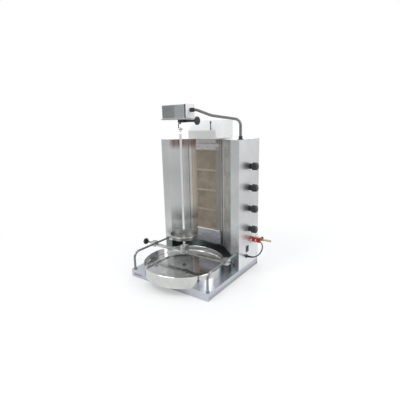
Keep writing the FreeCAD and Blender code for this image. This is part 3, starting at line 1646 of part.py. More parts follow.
def make_clip():
    """Clip that holds the lead against the cabinet's back."""
    back = "base_depth / 2"
    loop = rod("clip_loop", "clip_radius", "clip_height", ("clip_x", "clip_y", "clip_low"))
    neck = box(
        "clip_neck",
        ("2 * clip_radius", "clip_y - " + back, "clip_height"),
        ("clip_x - clip_radius", back, "clip_low"),
    )
    tab = box(
        "clip_tab_blank",
        ("clip_tab", "sheet_gauge", "clip_height"),
        ("clip_x - clip_tab", back, "clip_low"),
    )
    screw = rod(
        "clip_screw",
        "clip_height / 2 - 1",
        "sheet_gauge + 1.5",
        ("clip_x - clip_tab + 5", back, "clip_low + clip_height / 2"),
        Y_AXIS,
    )
    bore = rod("clip_eye", "clip_bore", "clip_height", ("clip_x", "clip_y", "clip_low"))
    keep(cut("cable_clip", join("clip_solid", loop, neck, tab, screw), bore))


def make_panel_screws():
    """Pan-head screws along the edges of the back and side sheets."""
    heights = ("base_height + 30", "(base_height + cabinet_top) / 2", "cabinet_top - 25")
    inset = "base_width / 2 - screw_inset"
    seats = [("-(%s)" % inset, "base_depth / 2", height, Y_AXIS) for height in heights]
    seats += [(inset, "base_depth / 2", height, Y_AXIS) for height in heights]
    rear = "base_depth / 2 - screw_inset"
    seats += [("-base_width / 2", rear, height, -X_AXIS) for height in heights]
    seats += [("base_width / 2", rear, height, X_AXIS) for height in heights]
    screws = []
    for number, (across, along, height, axis) in enumerate(seats, start=1):
        profile = [
            ("0", "-screw_length"),
            ("screw_shank", "-screw_length"),
            ("screw_shank", "0"),
            ("screw_head", "0"),
            ("screw_head - 0.4", "screw_rise - 0.7"),
            ("screw_head - 1.8", "screw_rise"),
            ("0", "screw_rise"),
        ]
        screws.append(turned("screw_%d" % number, profile, (across, along, height), axis))
    keep(group("panel_screws", *screws))


# ---------------------------------------------------------------- build and write

make_base()
make_pan()
make_rails()
make_carriage()
make_foot()
make_spit()
make_side_panels()
make_back_panel()
make_top_panel()
make_wing("left", "-")
make_wing("right", "")
make_bay_liner()
make_header_and_skirt()
make_burners()
make_gas_train()
make_inlet_cock()
make_hood()
make_arm()
make_motor_case()
make_gears()
make_gear_motor()
make_drive_hook()
make_lock()
make_switch()
make_gland()
make_lead()
make_panel_screws()
doc.recompute()

faults = [item.Label for item in doc.Objects if {"Invalid", "Error"} & set(item.State)]
faults += [
    piece.Label
    for piece in sub_parts
    if piece.Shape.isNull() or not piece.Shape.isValid() or not piece.Shape.Solids
]
if faults:
    raise RuntimeError("failed objects: " + ", ".join(faults))

os.makedirs("parts", exist_ok=True)
for piece in sub_parts:
    piece.Shape.exportStep("parts/%s.step" % piece.Label)
print("%d sub-parts written" % len(sub_parts))
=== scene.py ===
import math

import bmesh
import bpy
from mathutils import Matrix, Vector


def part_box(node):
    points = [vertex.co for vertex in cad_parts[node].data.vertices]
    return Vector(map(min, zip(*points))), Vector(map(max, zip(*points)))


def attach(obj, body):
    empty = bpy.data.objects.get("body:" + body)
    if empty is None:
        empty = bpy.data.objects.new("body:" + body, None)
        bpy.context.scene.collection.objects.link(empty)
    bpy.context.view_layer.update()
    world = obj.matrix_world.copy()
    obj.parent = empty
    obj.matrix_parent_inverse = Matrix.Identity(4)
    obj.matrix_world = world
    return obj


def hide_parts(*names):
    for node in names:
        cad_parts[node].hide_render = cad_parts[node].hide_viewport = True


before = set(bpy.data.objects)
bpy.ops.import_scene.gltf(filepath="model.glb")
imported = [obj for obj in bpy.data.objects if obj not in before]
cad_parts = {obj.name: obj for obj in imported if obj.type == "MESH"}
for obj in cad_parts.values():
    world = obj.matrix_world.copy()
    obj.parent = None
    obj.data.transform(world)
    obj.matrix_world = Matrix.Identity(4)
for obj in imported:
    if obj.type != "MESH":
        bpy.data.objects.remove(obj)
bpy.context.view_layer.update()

UP = Vector((0, 0, 1))
RAIL_X = 0.237
BAR_Y = -0.078
BAR_MIDDLE = 0.133
COCK_Y = 0.190
HOLE_PITCH = 0.0060
HOLE_SHARE = 0.26
LIP_WIDTH = 0.0125

# ---------------------------------------------------------------- node materials


class Shader:
    """Small helper that builds one procedural material; positions are in the shared frame, in metres."""

    def __init__(self, name):
        self.material = bpy.data.materials.new(name)
        self.start(self.material)
        self.surface = self.tree.nodes["Principled BSDF"]
        self.place = self.node("ShaderNodeTexCoord").outputs["Object"]

    def start(self, owner):
        owner.use_nodes = True
        self.tree = owner.node_tree

    def node(self, kind, **settings):
        made = self.tree.nodes.new(kind)
        for name, value in settings.items():
            setattr(made, name, value)
        return made

    def feed(self, socket, value):
        if isinstance(value, bpy.types.NodeSocket):
            self.tree.links.new(value, socket)
        else:
            socket.default_value = value

    def math(self, operation, *values):
        made = self.node("ShaderNodeMath", operation=operation)
        for socket, value in zip(made.inputs, values):
            self.feed(socket, value)
        return made.outputs[0]

    def vector(self, operation, *values):
        made = self.node("ShaderNodeVectorMath", operation=operation)
        for socket, value in zip(made.inputs, values):
            self.feed(socket, value)
        return made.outputs["Value" if operation in ("LENGTH", "DOT_PRODUCT") else "Vector"]

    def axis(self, letter):
        return self.node_output("ShaderNodeSeparateXYZ", self.place, letter)

    def node_output(self, kind, value, name):
        made = self.node(kind)
        self.feed(made.inputs[0], value)
        return made.outputs[name]

    def noise(self, scale, detail=3.0, rough=0.55):
        """Noise between 0 and 1; scale is cycles a metre, one number or three."""
        cycles = (scale,) * 3 if isinstance(scale, (int, float)) else scale
        stretched = self.vector("MULTIPLY", self.place, cycles)
        made = self.node("ShaderNodeTexNoise")
        self.feed(made.inputs["Vector"], stretched)
        made.inputs["Scale"].default_value = 1.0
        made.inputs["Detail"].default_value = detail
        made.inputs["Roughness"].default_value = rough
        return made.outputs["Fac"]

    def spread(self, value, low, high, start=0.0, end=1.0, smooth=False):
        """Maps low..high to start..end, clamped."""
        made = self.node("ShaderNodeMapRange", interpolation_type="SMOOTHSTEP" if smooth else "LINEAR")
        settings = {"Value": value, "From Min": low, "From Max": high, "To Min": start, "To Max": end}
        for name, number in settings.items():
            self.feed(made.inputs[name], number)
        return made.outputs[0]

    def mix(self, factor, first, second, blend="MIX"):
        made = self.node("ShaderNodeMix", data_type="RGBA", blend_type=blend)
        self.feed(made.inputs["Factor"], factor)
        for name, value in (("A", first), ("B", second)):
            socket = [s for s in made.inputs if s.name == name and s.type == "RGBA"][0]
            self.feed(socket, value if isinstance(value, bpy.types.NodeSocket) else (*value, 1.0))
        return [s for s in made.outputs if s.type == "RGBA"][0]

    def ramp(self, value, stops):
        """Colour for a value, blended between (value, colour) stops in rising order."""
        low, high = stops[0][0], stops[-1][0]
        made = self.node("ShaderNodeValToRGB")
        self.feed(made.inputs["Fac"], self.spread(value, low, high))
        elements = made.color_ramp.elements
        while len(elements) < len(stops):
            elements.new(0.5)
        for element, (place, color) in zip(elements, stops):
            element.position = (place - low) / (high - low)
            element.color = (*color, 1.0)
        return made.outputs["Color"]

    def bump(self, height, strength, distance, under=None):
        made = self.node("ShaderNodeBump")
        self.feed(made.inputs["Height"], height)
        made.inputs["Strength"].default_value = strength
        made.inputs["Distance"].default_value = distance
        if under is not None:
            self.feed(made.inputs["Normal"], under)
        return made.outputs[0]

    def finish(self, color, metallic, roughness, normal=None, **more):
        if not isinstance(color, bpy.types.NodeSocket):
            color = (*color, 1.0)
        self.feed(self.surface.inputs["Base Color"], color)
        self.feed(self.surface.inputs["Metallic"], metallic)
        self.feed(self.surface.inputs["Roughness"], roughness)
        if normal is not None:
            self.feed(self.surface.inputs["Normal"], normal)
        for name, value in more.items():
            self.feed(self.surface.inputs[name.replace("_", " ")], value)
        return self.material


CEILING_LIGHT = 0.85
VERTICAL_GRAIN = (900, 900, 9)
SIDEWAYS_GRAIN = (9, 900, 900)


def brushed(name, color, rough, grain, bump=0.12, film_and_reflection_hook=None, light_and_tint_hook=None, metal=1.0, streak=0.35):
    """Brushed sheet: fine scratches along the grain, slow colour drift, smudges, and faint wear."""
    s = Shader(name)
    scratches = s.noise(grain, 4.0, 0.7)
    broad = s.noise(tuple(v * 0.12 for v in grain), 2.0)
    smudge = s.noise(14.0, 3.0)
    drift = s.spread(s.noise(5.0, 2.0), 0.3, 0.7)
    dark = tuple(v * 0.86 for v in color)
    light = tuple(min(1.0, v * 1.07) for v in color)
    tone = s.mix(drift, dark, light)
    tone = s.mix(s.spread(broad, 0.35, 0.75, 0.0, 0.35), tone, dark)
    tone = s.mix(s.spread(scratches, 0.62, 0.78, 0.0, 0.25), tone, (1.0, 1.0, 1.0))
    if light_and_tint_hook is not None:
        tone = light_and_tint_hook(s, tone)
    if film_and_reflection_hook is not None:
        tone = film_and_reflection_hook(s, tone)
    along_grain = s.spread(scratches, 0.2, 0.8, rough - 0.06, rough + 0.08)
    value = s.math("ADD", along_grain, s.spread(smudge, 0.45, 0.75, 0.0, 0.09))
    return s.finish(tone, metal, value, s.bump(scratches, bump, 0.0002), Anisotropic=streak)


def polished(name, color, rough):
    """Bright bar or bowl: soft waves from rolling, fine hairlines and light handling marks."""
    s = Shader(name)
    hair = s.noise(700.0, 3.0, 0.6)
    wave = s.noise(22.0, 2.0)
    mark = s.noise(60.0, 4.0, 0.7)
    tone = s.mix(s.spread(mark, 0.5, 0.8, 0.0, 0.5), color, tuple(v * 0.8 for v in color))
    value = s.math("ADD", s.spread(mark, 0.4, 0.75, rough, rough + 0.14), s.spread(hair, 0.5, 0.8, 0.0, 0.05))
    return s.finish(tone, 1.0, value, s.bump(wave, 0.06, 0.002, s.bump(hair, 0.05, 0.0001)))


def moulded(name, color, rough=0.38, grain=0.15, coat=0.0):
    """Moulded or cast plastic and rubber: fine skin texture, dust in the hollows, slight wear."""
    s = Shader(name)
    skin = s.noise(1500.0, 2.0)
    dust = s.noise(90.0, 4.0, 0.65)
    tone = s.mix(s.spread(dust, 0.5, 0.8, 0.0, 0.35), color, tuple(v + 0.05 for v in color))
    value = s.spread(dust, 0.3, 0.75, rough - 0.05, rough + 0.12)
    return s.finish(tone, 0.0, value, s.bump(skin, grain, 0.0002), Coat_Weight=coat)


def painted(name, color, rough, chips=(0.35, 0.34, 0.33)):
    """Painted metal with orange peel and a few worn specks."""
    s = Shader(name)
    peel = s.noise(420.0, 2.0)
    worn = s.spread(s.noise(170.0, 5.0, 0.75), 0.71, 0.76)
    tone = s.mix(s.spread(s.noise(30.0, 2.0), 0.3, 0.7), tuple(v * 0.85 for v in color), color)
    tone = s.mix(worn, tone, chips)
    value = s.spread(peel, 0.2, 0.8, rough - 0.06, rough + 0.08)
    return s.finish(tone, worn, value, s.bump(peel, 0.12, 0.0003))


def cast_brass(name, color):
    """Turned brass with tarnish in patches and tool rings."""
    s = Shader(name)
    tarnish = s.spread(s.noise(110.0, 4.0, 0.65), 0.45, 0.72)
    rings = s.noise((1400, 40, 40), 2.0)
    tone = s.mix(tarnish, color, (0.42, 0.30, 0.15))
    return s.finish(tone, 1.0, s.spread(tarnish, 0.0, 1.0, 0.22, 0.45), s.bump(rings, 0.2, 0.0002))


# Place across the wings in metres, and the tone there. Chosen from streaks seen in the photograph:
# painted shade in the dark folds, the tan jamb, painted highlights in the brightest bands,
# and streaks that stand in for reflections, which stay in place as the view changes.
WING_TONES_AND_PAINTED_LIGHT = (
    (-0.2010, (1.00, 1.00, 1.00)),
    (-0.1400, (0.96, 0.97, 0.98)),
    (-0.1240, (0.74, 0.73, 0.72)),
    (-0.1170, (0.86, 0.85, 0.84)),
    (-0.1162, (0.24, 0.23, 0.22)),
    (-0.1142, (0.24, 0.23, 0.22)),
    (-0.1132, (1.00, 0.99, 0.97)),
    (-0.1010, (0.92, 0.88, 0.84)),
    (-0.0995, (0.50, 0.44, 0.38)),
    (-0.0960, (0.86, 0.74, 0.64)),
    (-0.0790, (0.62, 0.51, 0.42)),
    (0.0800, (0.52, 0.50, 0.47)),
    (0.0970, (0.52, 0.50, 0.48)),
    (0.1000, (0.34, 0.33, 0.32)),
    (0.1030, (0.34, 0.33, 0.32)),
    (0.1045, (1.20, 1.21, 1.21)),
    (0.1135, (1.24, 1.25, 1.25)),
    (0.1150, (0.78, 0.78, 0.78)),
    (0.1180, (1.30, 1.33, 1.34)),
    (0.1700, (1.30, 1.33, 1.34)),
    (0.2010, (0.96, 0.98, 0.98)),
)


def wing_painted_light_and_heat_tint(s, tone):
    """Painted shade, highlights and reflections across the wings by position, and a brown left upper edge."""
    # Painted shade and highlights from the bands, over the sheet's own tone.
    tone = s.mix(1.0, tone, s.ramp(s.axis("X"), WING_TONES_AND_PAINTED_LIGHT), "MULTIPLY")
    drips = s.spread(s.noise((60, 60, 7), 3.0), 0.3, 0.7, 0.60, 1.0)
    height = s.spread(s.axis("Z"), 0.652, 0.696, smooth=True)
    left = s.spread(s.axis("X"), 0.10, 0.0)
    inner = s.spread(s.math("ABSOLUTE", s.axis("X")), 0.200, 0.184, 0.0, 0.95)
    amount = s.math("MULTIPLY", s.math("MULTIPLY", height, drips), s.math("MULTIPLY", inner, left))
    return s.mix(amount, tone, (0.20, 0.125, 0.095))


def grease_film_and_pan_reflection(s, tone):
    """Baked grease film above and below the fire, and a painted reflection of the pan, darker low down."""
    # Painted reflection of the pan: the sheet turns darker towards the bottom.
    low = s.spread(s.axis("Z"), 0.215, 0.130, smooth=True)
    tone = s.mix(s.math("MULTIPLY", low, 0.5), tone, (0.24, 0.26, 0.29))
    film = s.spread(s.noise((25, 25, 40), 4.0, 0.65), 0.42, 0.72, 0.0, 0.45)
    return s.mix(film, tone, (0.44, 0.36, 0.29))


def ceramic():
    """Pierced ceramic plaques: rows of small burner holes in painted shade, baked brown in patches."""
    s = Shader("plaque_ceramic")
    pitch = 0.0027
    flat = s.node("ShaderNodeCombineXYZ")
    s.feed(flat.inputs["X"], s.math("DIVIDE", s.axis("X"), pitch))
    s.feed(flat.inputs["Y"], s.math("DIVIDE", s.axis("Z"), pitch * math.sqrt(3)))
    grid = flat.outputs[0]

    def nearest(offset):
        cell = s.vector("FRACTION", s.vector("ADD", grid, (offset, offset, 0.0)))
        shifted = s.vector("SUBTRACT", cell, (0.5, 0.5, 0.0))
        return s.vector("LENGTH", s.vector("MULTIPLY", shifted, (1.0, math.sqrt(3), 0.0)))

    hole = s.spread(s.math("MINIMUM", nearest(0.0), nearest(0.5)), 0.30, 0.22)
    baked = s.spread(s.noise(16.0, 4.0, 0.6), 0.35, 0.68)
    speck = s.noise(600.0, 3.0)
    tone = s.mix(baked, (0.35, 0.295, 0.235), (0.205, 0.170, 0.135))
    tone = s.mix(s.spread(speck, 0.35, 0.7, 0.0, 0.35), tone, (0.55, 0.47, 0.38))
    # Painted shade in the burner holes.
    tone = s.mix(s.math("MULTIPLY", hole, 0.72), tone, (0.05, 0.035, 0.025))
    depth = s.math("SUBTRACT", s.math("MULTIPLY", speck, 0.15), hole)
    return s.finish(tone, 0.0, 0.85, s.bump(depth, 0.6, 0.0005))


def pan_metal():
    """Spun bowl: rings round its middle, thin fat smears, and a painted reflection on the floor's right."""
    s = Shader("spun_pan")
    low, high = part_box("drip_pan")
    middle = (low + high) / 2
    flat = s.vector("MULTIPLY", s.vector("SUBTRACT", s.place, (middle.x, middle.y, 0.0)), (1.0, 1.0, 0.0))
    radius = s.vector("LENGTH", flat)
    ring = s.node("ShaderNodeTexNoise")
    ring.noise_dimensions = "1D"
    s.feed(ring.inputs["W"], s.math("MULTIPLY", radius, 900.0))
    ring.inputs["Scale"].default_value = 1.0
    smear = s.noise(18.0, 4.0, 0.6)
    on_floor = s.math("MULTIPLY", s.spread(radius, 0.205, 0.195), s.spread(smear, 0.45, 0.70))
    tone = s.mix(s.spread(smear, 0.3, 0.7), (0.66, 0.67, 0.66), (0.86, 0.87, 0.87))
    inside = s.spread(radius, 0.2055, 0.2035)
    # Painted reflection: the floor turns darker towards the right.
    painted_floor_reflection = s.math("MULTIPLY", inside, s.spread(s.axis("X"), -0.17, 0.06, 0.05, 0.72))
    tone = s.mix(painted_floor_reflection, tone, (0.24, 0.235, 0.23))
    tone = s.mix(s.math("MULTIPLY", on_floor, 0.45), tone, (0.42, 0.40, 0.38))
    patches = s.spread(s.noise((9, 9, 5), 2.0), 0.40, 0.60)
    on_wall = s.math("MULTIPLY", s.spread(radius, 0.2070, 0.2085), patches)
    tone = s.mix(s.math("MULTIPLY", on_wall, 0.30), tone, (0.50, 0.49, 0.42))
    grooves = ring.outputs["Fac"]
    value = s.math("ADD", s.spread(grooves, 0.3, 0.7, 0.06, 0.13), s.math("MULTIPLY", on_floor, 0.12))
    return s.finish(tone, 1.0, value, s.bump(grooves, 0.05, 0.0002, s.bump(smear, 0.04, 0.004)))


def plate_metal():
    """Meat plate: dull brushed floor with cooking film, and a rim painted bright as a highlight."""
    s = Shader("meat_plate")
    low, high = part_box("spit_plate")
    middle = (low + high) / 2
    flat = s.vector("MULTIPLY", s.vector("SUBTRACT", s.place, (middle.x, middle.y, 0.0)), (1.0, 1.0, 0.0))
    rim = s.spread(s.vector("LENGTH", flat), (high.x - low.x) / 2 - 0.0035, (high.x - low.x) / 2 - 0.0010)
    scratches = s.noise((60, 900, 60), 4.0, 0.7)
    film = s.noise(35.0, 4.0, 0.6)
    floor = s.mix(s.spread(film, 0.35, 0.7), (0.27, 0.27, 0.265), (0.40, 0.40, 0.39))
    # Painted highlight along the rim.
    tone = s.mix(rim, floor, (0.88, 0.88, 0.86))
    value = s.math("ADD", s.spread(rim, 0.0, 1.0, 0.34, 0.14), s.spread(scratches, 0.3, 0.8, 0.0, 0.12))
    return s.finish(tone, 1.0, value, s.bump(scratches, 0.2, 0.0003))


def plug_moulding():
    """Black moulding with nickel pins past its face."""
    s = Shader("plug_moulding")
    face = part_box("mains_plug")[0].x + 0.0189
    pin = s.spread(s.axis("X"), face + 0.0001, face - 0.0001)
    skin = s.noise(1300.0, 2.0)
    tone = s.mix(pin, (0.022, 0.022, 0.024), (0.75, 0.73, 0.68))
    return s.finish(tone, pin, s.spread(pin, 0.0, 1.0, 0.45, 0.2), s.bump(skin, 0.12, 0.0002))


def pale_floor():
    """Matte studio floor, lit evenly, that turns into the pale backdrop away from the machine."""
    s = Shader("studio_floor")
    tone = s.mix(s.noise(3.0, 2.0), (0.93, 0.93, 0.93), (0.95, 0.95, 0.95))
    s.finish(tone, 0.0, 0.8, s.bump(s.noise(300.0, 2.0), 0.02, 0.0003))
    output = s.tree.nodes["Material Output"]
    distance = s.vector("LENGTH", s.place)
    glow = s.node("ShaderNodeEmission")
    seen = s.node("ShaderNodeLightPath").outputs["Is Camera Ray"]
    sweep = s.spread(distance, 0.4, 2.5, 0.56, 0.62)
    unseen = s.math("MULTIPLY", s.math("SUBTRACT", 1.0, seen), sweep)
    s.feed(glow.inputs["Strength"], s.math("ADD", seen, unseen))
    mixer = s.node("ShaderNodeMixShader")
    s.feed(mixer.inputs[0], s.spread(distance, 0.55, 1.6, 0.35, 1.0, True))
    s.feed(mixer.inputs[1], s.surface.outputs[0])
    s.feed(mixer.inputs[2], glow.outputs[0])
    s.feed(output.inputs["Surface"], mixer.outputs[0])
    return s.material


class Backdrop(Shader):
    """White for the camera; for the light and the reflections a soft studio with darker sides."""

    def __init__(self):
        world = bpy.data.worlds.new("studio")
        bpy.context.scene.world = world
        self.start(world)
        direction = self.node("ShaderNodeTexCoord").outputs["Generated"]
        self.place = direction
        height = self.axis("Z")
        around = self.math("ARCTAN2", self.axis("Y"), self.axis("X"))
        bands = self.node("ShaderNodeTexNoise")
        bands.noise_dimensions = "1D"
        self.feed(bands.inputs["W"], self.math("MULTIPLY", around, 1.6))
        bands.inputs["Scale"].default_value = 1.0
        side = self.spread(self.vector("DOT_PRODUCT", direction, (0.80, 0.60, 0.0)), -1.0, 1.0, 0.34, 0.92)
        wall = self.math("MULTIPLY", side, self.spread(bands.outputs["Fac"], 0.35, 0.65, 0.62, 1.2))
        level = self.spread(height, 0.05, 0.75, 0.0, 1.0, True)
        walls = self.math("MULTIPLY", wall, self.math("SUBTRACT", 1.0, level))
        light = self.math("ADD", walls, self.math("MULTIPLY", level, CEILING_LIGHT))
        seen = self.node("ShaderNodeLightPath").outputs["Is Camera Ray"]
        tone = self.mix(seen, (0.97, 0.985, 1.0), (1.0, 1.0, 1.0))
        sky = self.tree.nodes["Background"]
        self.feed(sky.inputs["Color"], tone)
        self.feed(sky.inputs["Strength"], self.math("MAXIMUM", light, seen))


PANEL = brushed("panel_sheet", (0.95, 0.96, 0.98), 0.30, VERTICAL_GRAIN)
TOP = brushed("top_sheet", (0.80, 0.81, 0.82), 0.28, SIDEWAYS_GRAIN)
WING = brushed("wing_sheet", (0.76, 0.77, 0.77), 0.27, VERTICAL_GRAIN, light_and_tint_hook=wing_painted_light_and_heat_tint)
TRIM = brushed("trim_sheet", (0.93, 0.93, 0.92), 0.25, VERTICAL_GRAIN)
SKIRT = brushed("skirt_sheet", (0.58, 0.60, 0.66), 0.26, SIDEWAYS_GRAIN, film_and_reflection_hook=grease_film_and_pan_reflection)
HEADER = brushed("header_sheet", (0.62, 0.62, 0.61), 0.26, SIDEWAYS_GRAIN, film_and_reflection_hook=grease_film_and_pan_reflection)
# Painted shade: the bay liner is coloured dark for the shade inside the pan bay.
SHADED_LINER = brushed("liner_painted_shade", (0.24, 0.285, 0.272), 0.30, SIDEWAYS_GRAIN)
DECK = brushed("deck_sheet", (0.66, 0.68, 0.75), 0.30, SIDEWAYS_GRAIN, bump=0.05)
CHASSIS = brushed("chassis_sheet", (0.55, 0.56, 0.57), 0.40, SIDEWAYS_GRAIN)
HOOD = brushed("hood_sheet", (0.97, 0.97, 0.96), 0.38, SIDEWAYS_GRAIN, bump=0.08, metal=0.55)
CASE = brushed("case_sheet", (0.68, 0.71, 0.71), 0.24, SIDEWAYS_GRAIN)
# Painted shade: a darker copy of the case steel for the louvre ribs, for the shade in the slits.
CASE_RIBS_SHADED = brushed("case_ribs", (0.30, 0.30, 0.30), 0.34, SIDEWAYS_GRAIN)
COVER = brushed("cover_sheet", (0.94, 0.95, 0.95), 0.26, VERTICAL_GRAIN)
FLANGE = brushed("flange_plate", (0.60, 0.61, 0.61), 0.30, SIDEWAYS_GRAIN)
BURNER = brushed("burner_sheet", (0.44, 0.38, 0.31), 0.50, SIDEWAYS_GRAIN, metal=0.2)
STRIP = brushed(
    "strip_sheet", (0.37, 0.36, 0.34), 0.45, VERTICAL_GRAIN, film_and_reflection_hook=grease_film_and_pan_reflection, metal=0.4, streak=0.0
)
RAIL = polished("rail_bar", (0.31, 0.31, 0.31), 0.14)
BAR = brushed("carriage_bar", (0.62, 0.64, 0.62), 0.20, SIDEWAYS_GRAIN, bump=0.05)
SPIT = polished("spit_bar", (0.97, 0.96, 0.97), 0.12)
HOOK = polished("hook_bar", (0.20, 0.20, 0.21), 0.22)
ARM = polished("arm_tubing", (0.28, 0.28, 0.285), 0.20)
SCREW = polished("screw_head", (0.72, 0.72, 0.72), 0.20)
GEAR = brushed("gear_steel", (0.50, 0.50, 0.49), 0.35, SIDEWAYS_GRAIN)
BLACK = moulded("black_moulding", (0.016, 0.017, 0.020), 0.34, coat=0.15)
RUBBER = moulded("cable_rubber", (0.016, 0.016, 0.017), 0.50, 0.2)
NYLON = moulded("black_nylon", (0.030, 0.030, 0.032), 0.46)
WHITE_MARK = moulded("white_mark", (0.60, 0.62, 0.64), 0.45)
DARK = painted("dark_fitting", (0.030, 0.030, 0.034), 0.36)
PIPE = painted("pipe_paint", (0.20, 0.21, 0.22), 0.42)
MOTOR = painted("motor_paint", (0.060, 0.060, 0.065), 0.40)
RED = painted("lever_enamel", (0.60, 0.030, 0.026), 0.30, chips=(0.62, 0.30, 0.28))
BRASS = cast_brass("tarnished_brass", (0.64, 0.56, 0.38))
CERAMIC = ceramic()
PAN = pan_metal()
PLATE = plate_metal()
PLUG = plug_moulding()

NODE_LOOKS = {
    PANEL: ("left_side_panel", "right_side_panel", "back_panel"),
    TOP: ("top_panel",),
    WING: ("wing_panel_left", "wing_panel_right"),
    SKIRT: ("skirt_panel",),
    HEADER: ("header_panel",),
    SHADED_LINER: ("bay_liner",),
    DECK: ("base_tray",),
    CHASSIS: ("base_chassis",),
    HOOD: ("flue_hood",),
    CASE: ("motor_case",),
    COVER: ("motor_end_cover",),
    FLANGE: ("motor_flange",),
    BURNER: ("burner_bodies",),
    CERAMIC: ("ceramic_tiles",),
    STRIP: ("flash_strip",),
    RAIL: ("side_rails",),
    BAR: ("cross_bar", "clamp_blocks", "foot_block"),
    SPIT: ("spit_rod", "plate_collar"),
    HOOK: ("drive_hook", "damper_rod", "drain_plug"),
    PLATE: ("spit_plate",),
    PAN: ("drip_pan",),
    ARM: ("arm_tube",),
    SCREW: ("panel_screws", "valve_stem_1", "valve_stem_2", "valve_stem_3", "valve_stem_4"),
    GEAR: ("motor_pinion", "drive_gear"),
    BLACK: (
        "clamp_knob_left", "clamp_knob_right", "lock_knob", "gas_knob_1", "gas_knob_2", "gas_knob_3",
        "gas_knob_4", "switch_body", "rocker",
    ),
    RUBBER: ("power_cable", "cable_coil"),
    NYLON: ("cable_gland", "cable_clip", "knob_bezels"),
    DARK: ("arm_socket", "post_collar", "lock_bar"),
    PIPE: ("gas_manifold",),
    MOTOR: ("gear_motor",),
    RED: ("cock_lever",),
    BRASS: ("gas_cock", "gas_valves"),
    PLUG: ("mains_plug",),
}
for look, names in NODE_LOOKS.items():
    for name in names:
        for material_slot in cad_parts[name].material_slots:
            material_slot.material = look


def soften(width, *names):
    """Small rounded edges on CAD nodes, so that their corners catch the light."""
    for name in names:
        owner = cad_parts[name]
        weld = owner.modifiers.new("weld", "WELD")
        weld.merge_threshold = 0.00001
        bevel = owner.modifiers.new("edges", "BEVEL")
        bevel.width = width
        bevel.segments = 2
        bevel.limit_method = "ANGLE"
        bevel.angle_limit = math.radians(40)
        owner.modifiers.new("normals", "WEIGHTED_NORMAL")


# ---------------------------------------------------------------- making pieces


def add_piece(name, mesh, look, body, smooth):
    """Object from a mesh, riding on a body."""
    piece = bpy.data.objects.new(name, mesh)
    bpy.context.scene.collection.objects.link(piece)
    piece.data.materials.append(look)
    for face in mesh.polygons:
        face.use_smooth = smooth
    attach(piece, body)
    return piece


def mesh_of(name, points, faces):
    mesh = bpy.data.meshes.new(name)
    mesh.from_pydata([tuple(p) for p in points], [], faces)
    mesh.update()
    return mesh


def facing(axis):
    """Rotation that turns +Z to `axis`."""
    return Vector(axis).to_track_quat("Z", "Y").to_matrix()


def lathe(profile, centre, axis, sides=32):
    """Points and faces of a closed profile of (radius, distance) turned about an axis."""
    turn = facing(axis)
    points, faces = [], []
    count = len(profile)
    for number in range(sides):
        angle = 2 * math.pi * number / sides
        for radius, along in profile:
            local = Vector((radius * math.cos(angle), radius * math.sin(angle), along))
            points.append(Vector(centre) + turn @ local)
    for number in range(sides):
        following = (number + 1) % sides
        for row in range(count):
            below = (row + 1) % count
            faces.append((
                number * count + row, following * count + row,
                following * count + below, number * count + below,
            ))
    return points, faces


def tidy(mesh):
    """Merges doubled points and turns all faces outwards."""
    work = bmesh.new()
    work.from_mesh(mesh)
    bmesh.ops.remove_doubles(work, verts=work.verts, dist=0.0000005)
    bmesh.ops.recalc_face_normals(work, faces=work.faces)
    work.to_mesh(mesh)
    work.free()
    mesh.update()
    return mesh


def combined(name, parts):
    """One mesh from several (points, faces) parts."""
    points, faces = [], []
    for part_points, part_faces in parts:
        start = len(points)
        points += part_points
        faces += [tuple(start + index for index in face) for face in part_faces]
    return tidy(mesh_of(name, points, faces))


def block(low, high, edge):
    """Box with cut edges."""
    work = bmesh.new()
    low, high = Vector(low), Vector(high)
    bmesh.ops.create_cube(work, size=1.0)
    for vertex in work.verts:
        vertex.co = Vector([(low[i] + high[i]) / 2 + vertex.co[i] * (high[i] - low[i]) for i in range(3)])
    bmesh.ops.bevel(work, geom=work.edges[:], offset=edge, segments=2, affect="EDGES", profile=0.7)
    work.verts.index_update()
    points = [vertex.co.copy() for vertex in work.verts]
    faces = [tuple(vertex.index for vertex in face.verts) for face in work.faces]
    work.free()
    return points, faces


def button_head(centre, axis, radius, rise, slot_angle):
    """Low domed screw head with a raised cross."""
    profile = [
        (0, 0), (radius, 0), (radius, rise * 0.35),
        (radius * 0.86, rise * 0.75), (radius * 0.6, rise), (0.0, rise),
    ]
    points, faces = lathe(profile, centre, axis, 20)
    turn = facing(axis) @ Matrix.Rotation(slot_angle, 3, "Z")
    parts = [(points, faces)]
    half_long, half_wide = radius * 0.5, radius * 0.1
    for quarter in (0.0, math.pi / 2):
        spin = turn @ Matrix.Rotation(quarter, 3, "Z")
        bar, bar_faces = block(
            (-half_long, -half_wide, rise), (half_long, half_wide, rise + 0.0002), 0.00008
        )
        parts.append(([Vector(centre) + spin @ point for point in bar], bar_faces))
    return parts


def hexagon(centre, axis, across_flats, length, bore):
    """Hexagonal nut ring with chamfered corners."""
    turn = facing(axis)
    corner = across_flats / math.sqrt(3)
    rings = ((corner * 0.95, 0.0), (corner, length * 0.15), (corner, length * 0.85), (corner * 0.95, length))
    points, faces = [], []
    for number in range(6):
        angle = math.pi / 3 * number
        for radius, along in rings + ((bore, length), (bore, 0.0)):
            local = Vector((radius * math.cos(angle), radius * math.sin(angle), along))
            points.append(Vector(centre) + turn @ local)
    for number in range(6):
        following = (number + 1) % 6
        for row in range(6):
            below = (row + 1) % 6
            faces.append((number * 6 + row, following * 6 + row, following * 6 + below, number * 6 + below))
    return points, faces


